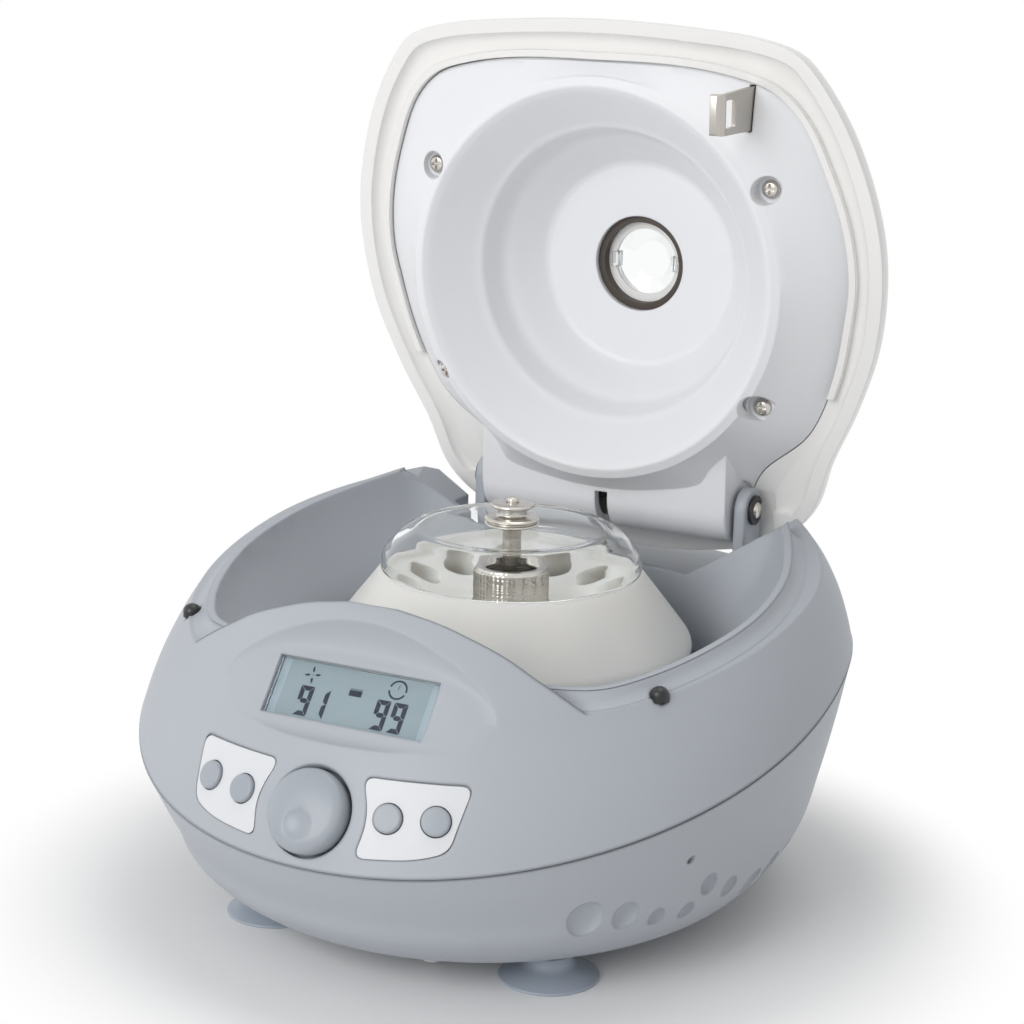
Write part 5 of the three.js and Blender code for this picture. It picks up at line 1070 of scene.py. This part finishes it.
def lid_shell():
    """The dome with its cavity, the trough inside its rim, and room for the liner and the hinge."""
    outline = lid_radii(0.05)

    def domed(name, rows):
        return loft(name, [polar_ring(outline, above_rim(h * LID_HEIGHT), w) for w, h in rows])

    body = domed("lid_dome", curve_rows(DOME))
    cavity = domed("cavity", curve_rows(DOME_INNER, 3))
    mouth = sheared("mouth", polar_ring(liner_radii(-0.3), 0), -60, 11)
    trough_rows = ((4.6, -60), (4.6, 0), (4.9, 0.8), (5.7, 1.7), (7.2, 2.4), (9, 2.6))
    trough = loft("trough", [polar_ring(lid_radii(inset), above_rim(rise)) for inset, rise in trough_rows])
    lip = sheared("lip", polar_ring(liner_radii(-2.7), 0), -1, 60)
    combine(lip, [block("lip_zone", (-FAR, 44, -60), (FAR, FAR, FAR))])
    combine(trough, [lip, block("trough_zone", (-FAR, 88, -60), (FAR, FAR, FAR))])
    sight = turned("sight", rod(15.5, 0, FAR), ROTOR_AXIS, steps=96)
    room = hinge_rod("room", 12.3, 47.3)
    return combine(body, [cavity, mouth, trough, sight, room] + hinge_notches(), angle=30)


shell = swing_open(lid_shell())
stands_for(shell, "lid_shell", "lid", lid_abs)

DISH = (
    (1, 0), (0.97, 0.035), (0.8, 0.355), (0.765, 0.4), (0.725, 0.64), (0.67, 0.725), (0.56, 0.965),
    (0.535, 0.985),
)
DISH_RADIUS, DISH_HEIGHT, DISH_DEPTH = 65, 93.24, 40.2
# Radius of the sight hole in the dish, and radius and height of the dish's outer edge
SIGHT, CREST, CREST_HEIGHT = 16.76, 67.4, 94.04
SCREWS = {
    "lid_screw_front_left": (-62, -27.5), "lid_screw_front_right": (62, -27.5),
    "lid_screw_rear_left": (-60, 46), "lid_screw_rear_right": (60, 46),
}


def dish_rows(grow, lift):
    return [(DISH_RADIUS * r + grow, DISH_HEIGHT + DISH_DEPTH * z + lift) for r, z in DISH]


LINER_RADII = liner_radii(0)
# The liner's thickness, and how far its edge lies above the rim's plane
THICK, EDGE = 1.44, 1.8


def screw_height(x, y):
    """The liner's inner face at this place, between the dish's edge and the liner's own."""
    radius = math.hypot(x, y - ROTOR_Y)
    edge = LINER_RADII[round(math.atan2(y - ROTOR_Y, x) % TURN / TURN * ROUND) % ROUND]
    share = (radius - CREST) / (edge - CREST)
    edge_y = ROTOR_Y + (y - ROTOR_Y) * edge / radius
    return CREST_HEIGHT + (rim_z(edge_y) + EDGE - CREST_HEIGHT) * share


def liner():
    """The lid's inner moulding: the dish, the slope round it, and the wall up into the lid."""
    top = DISH_HEIGHT + DISH_DEPTH
    inner = softened([(SIGHT, 132.85), (SIGHT, 132.84)] + list(reversed(dish_rows(0, 0))), 2.6, 6)[1:]
    inner = [(SIGHT, top)] + inner
    crest = softened([inner[-2], (65.2, 93.05), (CREST, CREST_HEIGHT), (70, 94.9)], 1.4, 6)[1:-1]
    over = dish_rows(2.4, THICK)[1:] + [(SIGHT, top + THICK)]
    rings = [polar_ring(r, z) for r, z in inner[:-1]]
    rings += [polar_ring(r, z) for r, z in crest]
    for share in (0.15, 0.4, 0.7, 0.92):
        rings.append([
            tuple(Vector(a) * (1 - share) + Vector(b) * share)
            for a, b in zip(polar_ring(CREST, CREST_HEIGHT), polar_ring(LINER_RADII, above_rim(EDGE)))
        ])
    soft = [r - 0.5 for r in LINER_RADII]
    rings.append(polar_ring(soft, above_rim(EDGE + 0.05)))
    rings.append(polar_ring(LINER_RADII, above_rim(EDGE + 0.5)))
    rings.append(polar_ring(LINER_RADII, above_rim(7.4)))
    rings += [polar_ring(r, z) for r, z in over]
    rings.append(rings[0])
    return loft("liner_dish", rings, caps=False)


def barrel_parts():
    """The hinge barrel and the block that joins it to the liner."""
    front, rear = ROTOR_Y + 42.9, HINGE.y + 10.3
    outline = (
        (front, HINGE.z - BARREL), (HINGE.y, HINGE.z - BARREL), (rear, HINGE.z), (rear, rim_z(rear) + 6.2),
        (front, rim_z(front) + 6.2),
    )
    blocky = prism("barrel_block", outline, "X", -BARREL_HALF, BARREL_HALF)
    keep_within(blocky, [sheared("within", polar_ring(LINER_RADII, 0), -60, 60)])
    behind = turned("dish_back", [(0, 90.8)] + dish_rows(1.2, 1.2) + [(0, 134)], ROTOR_AXIS, steps=ROUND)
    combine(blocky, [behind])
    return join(blocky, [hinge_rod("barrel", BARREL, BARREL_HALF, 96, 0.8)])


def lid_liner():
    body = liner()
    cups = []
    for x, y in SCREWS.values():
        z = screw_height(x, y)
        cups.append(turned("cup", rod(7, z + 1.2, z + 6.9), (x, y, 0), steps=48))
    below = loft("below_liner", [
        polar_ring(LINER_RADII, 40), polar_ring(LINER_RADII, above_rim(EDGE + 0.2)),
        polar_ring(CREST, 94.3), polar_ring(60, 94.3),
    ])
    wells = join(cups[0], cups[1:])
    combine(wells, [below])
    join(body, [barrel_parts(), wells])
    dish = [(0, 80), (64.6, 80)] + softened(dish_rows(-0.02, 0), 2.6, 6)[1:] + [(0, 132.8)]
    inside = turned("dish_inside", dish, ROTOR_AXIS, steps=ROUND)
    wedge = [(HINGE.y, HINGE.z)] + arc(24, 258, 362, 8, HINGE.yz)
    slot = prism("spring_slot", wedge, "X", -2.4, 2.4)
    keep_within(slot, [hinge_rod("slot_reach", 14.4, 4.8)])
    cuts = [
        inside, hinge_rod("barrel_bore", 8.6, 39), hinge_rod("pin_bore", PIN_HOLE, 94), slot,
        block("latch_slot", (53.7, -60.8, 0), (55.8, -45.8, FAR), 0.3),
    ]
    cuts += hinge_notches()
    for x, y in SCREWS.values():
        z = screw_height(x, y)
        recess = softened([(5.2, z - 3), (4.6, z + 0.3), (4.6, z + 4.5), (0, z + 4.5)], 0.5)
        cuts.append(turned("recess", [(0, z - 30), (5.2, z - 30)] + recess, (x, y, 0), steps=48))
        cuts.append(turned("shank_hole", rod(1.7, z, z + 30), (x, y, 0), steps=32))
    return combine(body, cuts, angle=30)


inner_lid = swing_open(lid_liner())
stands_for(inner_lid, "lid_liner", "lid", liner_abs)

ring = swing_open(on_rotor_axis("sight_ring", [
    (11.6, 138.6), (14.9, 138.6), (14.9, 135.2), (18.5, 135.2), (18.5, 137.0), (15.2, 137.0),
    (15.2, 142.1), (13.4, 142.1), (13.4, 140.4), (11.6, 140.4), (11.6, 138.6),
], 0.3, 3))
stands_for(ring, "window_ring", "lid", lid_abs)

# A thin dark ring under and inside the window ring: painted shade where the gap between the liner's hole and
# the ring falls dark
gap_shade_ring = swing_open(on_rotor_axis("window_painted_gap_shade", [
    (14.3, 134.9), (16.7, 134.9), (16.7, 135.18), (14.88, 135.18), (14.88, 138.5), (14.3, 138.5),
    (14.3, 134.9),
], 0.1, 2))
extra(gap_shade_ring, "lid", painted_gap_shade)

lens = swing_open(on_rotor_axis("sight_lens", [
    (0, 143.9), (6.9, 143.2), (11.5, 140.7), (13.1, 140.7), (13.1, 142.3), (11.5, 142.3), (6.9, 144.8),
    (0, 145.5),
], 0.5, 3))
stands_for(lens, "window_lens", "lid", window_acrylic)


def snap_hook(side):
    """A clear hook that holds the window behind its ring."""
    arm = block("snap_hook", (10.3, ROTOR_Y - 2.7, 137.4), (11.4, ROTOR_Y + 2.7, 141.4), 0.25)
    catch = block("catch", (10.3, ROTOR_Y - 2.7, 137.4), (12.9, ROTOR_Y + 2.7, 138.4), 0.25)
    hook = join(arm, [catch])
    if side < 0:
        axis = Matrix.Translation((0, (ROTOR_Y + WIDEST) * MM, 0))
        hook.data.transform(axis @ Matrix.Rotation(math.pi, 4, "Z") @ axis.inverted())
    return swing_open(hook)


for side, name in ((-1, "snap_hook_left"), (1, "snap_hook_right")):
    clear_hook = snap_hook(side)
    clear_hook.name = name
    extra(clear_hook, "lid", window_acrylic)


def latch_tongue():
    """A pressed tongue, curled at its tip, with a slot for the bolt."""
    section = softened([
        (48, 108.1), (48, 106.6), (54, 106.6), (54, 75.4), (53.4, 74.4), (52.4, 74), (51, 74), (51, 72.5),
        (53.2, 72.5), (54.7, 73.2), (55.5, 74.8), (55.5, 108.1),
    ], 0.35)
    body = prism("latch_tongue", section, "Y", -60.8, -45.8)
    front = softened([
        (-60.5, 108.2), (-60.5, 105), (-59.8, 72.4), (-46.8, 72.4), (-46.1, 105), (-46.1, 108.2),
    ], 1.2)
    keep_within(body, [prism("tongue_front", front, "X", 40, 60)])
    slot = softened([(-57.8, 75.5), (-48.8, 75.5), (-48.8, 83.5), (-57.8, 83.5)], 0.8)
    return combine(body, [prism("tongue_slot", slot, "X", 40, 60)])


tongue = swing_open(latch_tongue())
stands_for(tongue, "latch_plate", "lid", plate_steel)


def screw(name, x, y):
    """A pan head with a cross recess, seen from below."""
    seat = screw_height(x, y) + 4.2
    body = turned(name + "_pan", [
        (0, seat - 2), (2.2, seat - 1.9), (3.1, seat - 0.8), (3.1, seat), (1.4, seat), (1.4, seat + 9),
        (0, seat + 9),
    ], (x, y, 0), steps=48, soft=0.6)
    cross = [
        block("cross", (x - 1.9, y - 0.4, seat - 4), (x + 1.9, y + 0.4, seat - 0.9)),
        block("cross", (x - 0.4, y - 1.9, seat - 4), (x + 0.4, y + 1.9, seat - 0.9)),
    ]
    return swing_open(combine(body, cross))


for name, (x, y) in SCREWS.items():
    head = screw(name, x, y)
    stands_for(head, name, "lid", turned_steel)


# Power jack and rocker switch on the back

def jack():
    """A barrel jack: a flange, a bore and the contact pin inside it."""
    body = turned("jack_barrel", [
        (0, 93), (5, 93), (5, 107.3), (7, 107.3), (7, 108.3), (3.6, 108.3), (3, 107.6), (3, 97.2), (0, 97.2),
    ], JACK, REARWARDS, 64, 0.25)
    contact = turned("contact", [
        (0, 95.8), (1, 95.8), (1, 105.2), (0.6, 106), (0, 106),
    ], JACK, REARWARDS, 32, 0.2)
    return join(body, [contact])


stands_for(jack(), "power_jack", "housing", inner_black)


def switch_surround():
    body = block("switch_surround", (-22.6, 107.3, 35.4), (-1.4, 108.9, 50.6), 0.5)
    join(body, [block("switch_body", (-21, 95, 37), (-3, 108, 49), 0.3)])
    return combine(body, [block("rocker_well", (-19.4, 98, 38.6), (-4.6, 130, 47.4), 0.3)])


stands_for(switch_surround(), "switch_frame", "housing", inner_black)


def rocker():
    """Seen from above a shallow V, whose two halves take turns to stand proud."""
    outline = softened([
        (-18.2, 104.8), (-18.2, 110.1), (-12, 108.2), (-5.8, 107.7), (-6.4, 104.8), (-12, 102.3),
    ], 0.5)
    body = prism("rocker_cap", outline, "Z", 38.9, 47.1)
    grips = ((-17.4, 109.2), (-16.1, 108.8), (-14.8, 108.4))
    return combine(body, [block("grip", (x, y, 40.2), (x + 0.5, 112, 45.8)) for x, y in grips])


stands_for(rocker(), "power_switch", "power_switch", key_black)


# Pivot, its rings, the brackets and the spring

def pivot():
    """A ground pin with domed ends and a groove for each ring."""
    profile = [
        (0, -55.2), (1.6, -55.0), (2.5, -54.5), (2.9, -53.9), (2.9, -53.7), (2.5, -53.6), (2.5, -53.0),
        (2.9, -52.9),
    ]
    profile += [(r, -x) for r, x in reversed(profile)]
    return turned("pivot_pin", profile, HINGE, ACROSS, steps=64)


stands_for(pivot(), "hinge_pin", "housing", turned_steel)


def bracket(name, side):
    """An upright ear with a round head, standing on its foot."""
    x0, x1 = sorted((side * 48.3, side * 52.5))
    arch = arc(7.5, 0, 180, 40)
    drop = DECK - HINGE.z
    sections = (
        (x0, 0.93), (x0 + 0.25, 0.98), (x0 + 0.6, 1), (x1 - 0.6, 1), (x1 - 0.25, 0.98), (x1, 0.93),
    )
    ear = loft(name + "_ear", [
        [(x, HINGE.y + y * w, HINGE.z + z * w) for y, z in arch]
        + [(x, HINGE.y + y * w, HINGE.z + drop) for y in (-7.5, 7.5)]
        for x, w in sections
    ])
    f0, f1 = sorted((side * 48.3, side * 56.1))
    foot = block("foot", (f0, HINGE.y - 7.5, DECK), (f1, HINGE.y + 7.5, 93.1), 0.4)
    join(ear, [foot])
    return combine(ear, [hinge_rod("eye", PIN_HOLE, 94)])


def ring_clip(name, side):
    """An open spring ring that sits in the pin's groove."""
    x0, x1 = sorted((side * 52.8, side * 53.8))
    section = [(3.05, x0), (5.2, x0), (5.2, x1), (3.05, x1), (3.05, x0)]
    ring = turned(name + "_ring", section, HINGE, ACROSS, 64, 0.2)
    gap = block("gap", (x0 - 1, HINGE.y + 2, HINGE.z - 1.6), (x1 + 1, HINGE.y + 9, HINGE.z + 1.6))
    return combine(ring, [gap])


for side, tail in ((-1, "left"), (1, "right")):
    ear = bracket("bracket_" + tail, side)
    stands_for(ear, "hinge_bracket_" + tail, "housing", housing_abs)
    clip = ring_clip("clip_" + tail, side)
    stands_for(clip, "hinge_clip_" + tail, "housing", inner_black)


def coil_spring():
    """A round wire spun along the pivot, with one leg that stands on the deck."""
    bm = bmesh.new()
    bmesh.ops.create_circle(bm, cap_ends=True, segments=12, radius=0.75)
    bmesh.ops.rotate(bm, verts=bm.verts, cent=(0, 0, 0), matrix=Matrix.Rotation(math.pi / 2, 3, "X"))
    bmesh.ops.translate(bm, verts=bm.verts, vec=(4.2, 0, 0))
    turns, steps = 6, 36
    bmesh.ops.spin(
        bm, geom=bm.faces[:], cent=(0, 0, 0), axis=(0, 0, 1), dvec=(0, 0, 12 / (turns * steps)),
        angle=turns * TURN, steps=turns * steps, use_merge=False, use_duplicate=False,
    )
    bmesh.ops.rotate(bm, verts=bm.verts, cent=(0, 0, 0), matrix=Matrix.Rotation(math.pi / 2, 3, "Y"))
    bmesh.ops.rotate(bm, verts=bm.verts, cent=(0, 0, 0), matrix=Matrix.Rotation(math.radians(172), 3, "X"))
    bmesh.ops.translate(bm, verts=bm.verts, vec=HINGE)
    wound = new_piece("coil_spring", bm)
    leg_foot = (0, HINGE.y - 0.58, 0)
    leg = turned("spring_leg", rod(0.75, 92.1, HINGE.z - 4.1), leg_foot, steps=24, soft=0.3)
    return join(wound, [leg])


stands_for(coil_spring(), "hinge_spring", "housing", turned_steel)


# The CAD's own solids, with the finish of the real ones

KEPT = {
    "lock_bolt": turned_steel, "drive_shaft": turned_steel, "motor_plate": plate_steel,
    "motor": zinc_steel, "control_board": board_lacquer, "main_board": board_lacquer,
    "knob_encoder": inner_black, "lid_lock": inner_black,
    "motor_mount_1": mount_rubber, "motor_mount_2": mount_rubber, "motor_mount_3": mount_rubber,
    "display_window": pane_acrylic,
}
for name, material in KEPT.items():
    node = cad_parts[name]
    node.data.materials.clear()
    node.data.materials.append(material)


# Floor, light and camera

WORLD_LEVEL = 0.45
# Each lamp's name, place, width and power: a broad one in front, and weak ones above and at the left
LAMPS = (
    ("front_softbox", (-0.37, -1.73, 0.94), 1.1, 17.5), ("left_softbox", (-1.9, -0.5, 0.6), 1.2, 3),
    ("top_softbox", (0.1, 0.3, 2.0), 1.2, 8),
)


def seen_directly(tree):
    """One for rays from the camera, from a mirror-like surface or through a clear one."""
    rays = add(tree, "LightPath").outputs
    seen = rays["Is Camera Ray"]
    for kind in ("Is Glossy Ray", "Is Transmission Ray"):
        seen = add(tree, "Math", {0: seen, 1: rays[kind]}, operation="MAXIMUM").outputs[0]
    return seen


def studio():
    """White paper: it keeps the part's shadow near the feet, and is plain white further out."""
    bm = bmesh.new()
    bmesh.ops.create_grid(bm, x_segments=1, y_segments=1, size=4)
    floor = put_in_scene("floor", as_mesh("floor", bm))
    paper, tree, sheet = new_material("white_paper_sweep", Base_Color=linear("#f7f7f7"), Roughness=0.9)
    place = add(tree, "TexCoord").outputs["Object"]
    reach = add(tree, "VectorMath", {0: place}, operation="LENGTH")
    far = add(
        tree, "MapRange", {"Value": reach.outputs["Value"], "From Min": 0.12, "From Max": 0.18},
        interpolation_type="SMOOTHSTEP",
    )
    shown = add(tree, "Math", {0: far.outputs["Result"], 1: seen_directly(tree)}, operation="MULTIPLY")
    plain = add(tree, "Emission", {"Strength": 1.0})
    mixed = add(tree, "MixShader", {0: shown.outputs[0], 1: sheet.outputs[0], 2: plain.outputs[0]})
    tree.links.new(mixed.outputs[0], tree.nodes["Material Output"].inputs["Surface"])
    floor.data.materials.append(paper)

    world = bpy.data.worlds.new("studio")
    bpy.context.scene.world = world
    world.use_nodes = True
    tree = world.node_tree
    level = add(tree, "MapRange", {"Value": seen_directly(tree), "To Min": WORLD_LEVEL, "To Max": 1.0})
    tree.links.new(level.outputs["Result"], tree.nodes["Background"].inputs["Strength"])
    tree.nodes["Background"].inputs["Color"].default_value = (1, 1, 1, 1)

    for name, place, size, power in LAMPS:
        lamp = bpy.data.lights.new(name, "AREA")
        lamp.size = size
        lamp.energy = power
        holder = put_in_scene(name, lamp)
        holder.location = place
        holder.rotation_euler = (Vector((0, 0, 0.12)) - Vector(place)).to_track_quat("-Z", "Y").to_euler()


def photo_camera():
    azimuth, elevation, roll = math.radians(27.47), math.radians(14.08), math.radians(1.18)
    back = Vector((
        math.sin(azimuth) * math.cos(elevation), -math.cos(azimuth) * math.cos(elevation), math.sin(elevation)
    ))
    level = Vector((math.cos(azimuth), math.sin(azimuth), 0))
    rise = back.cross(level)
    right = level * math.cos(roll) + rise * math.sin(roll)
    top = rise * math.cos(roll) - level * math.sin(roll)
    photo_pixels, focal_pixels, sensor = 1024, 2477.3, 36
    lens_data = bpy.data.cameras.new("photo_camera")
    lens_data.sensor_width = sensor
    lens_data.lens = focal_pixels / photo_pixels * sensor
    lens_data.clip_end = 20
    camera = put_in_scene("photo_camera", lens_data)
    place = Vector((361.07, -687.55 + WIDEST, 322.18)) * MM
    camera.matrix_world = Matrix.Translation(place) @ Matrix((right, top, back)).transposed().to_4x4()
    bpy.context.scene.camera = camera


studio()
photo_camera()
bpy.context.scene.view_settings.view_transform = "Standard"
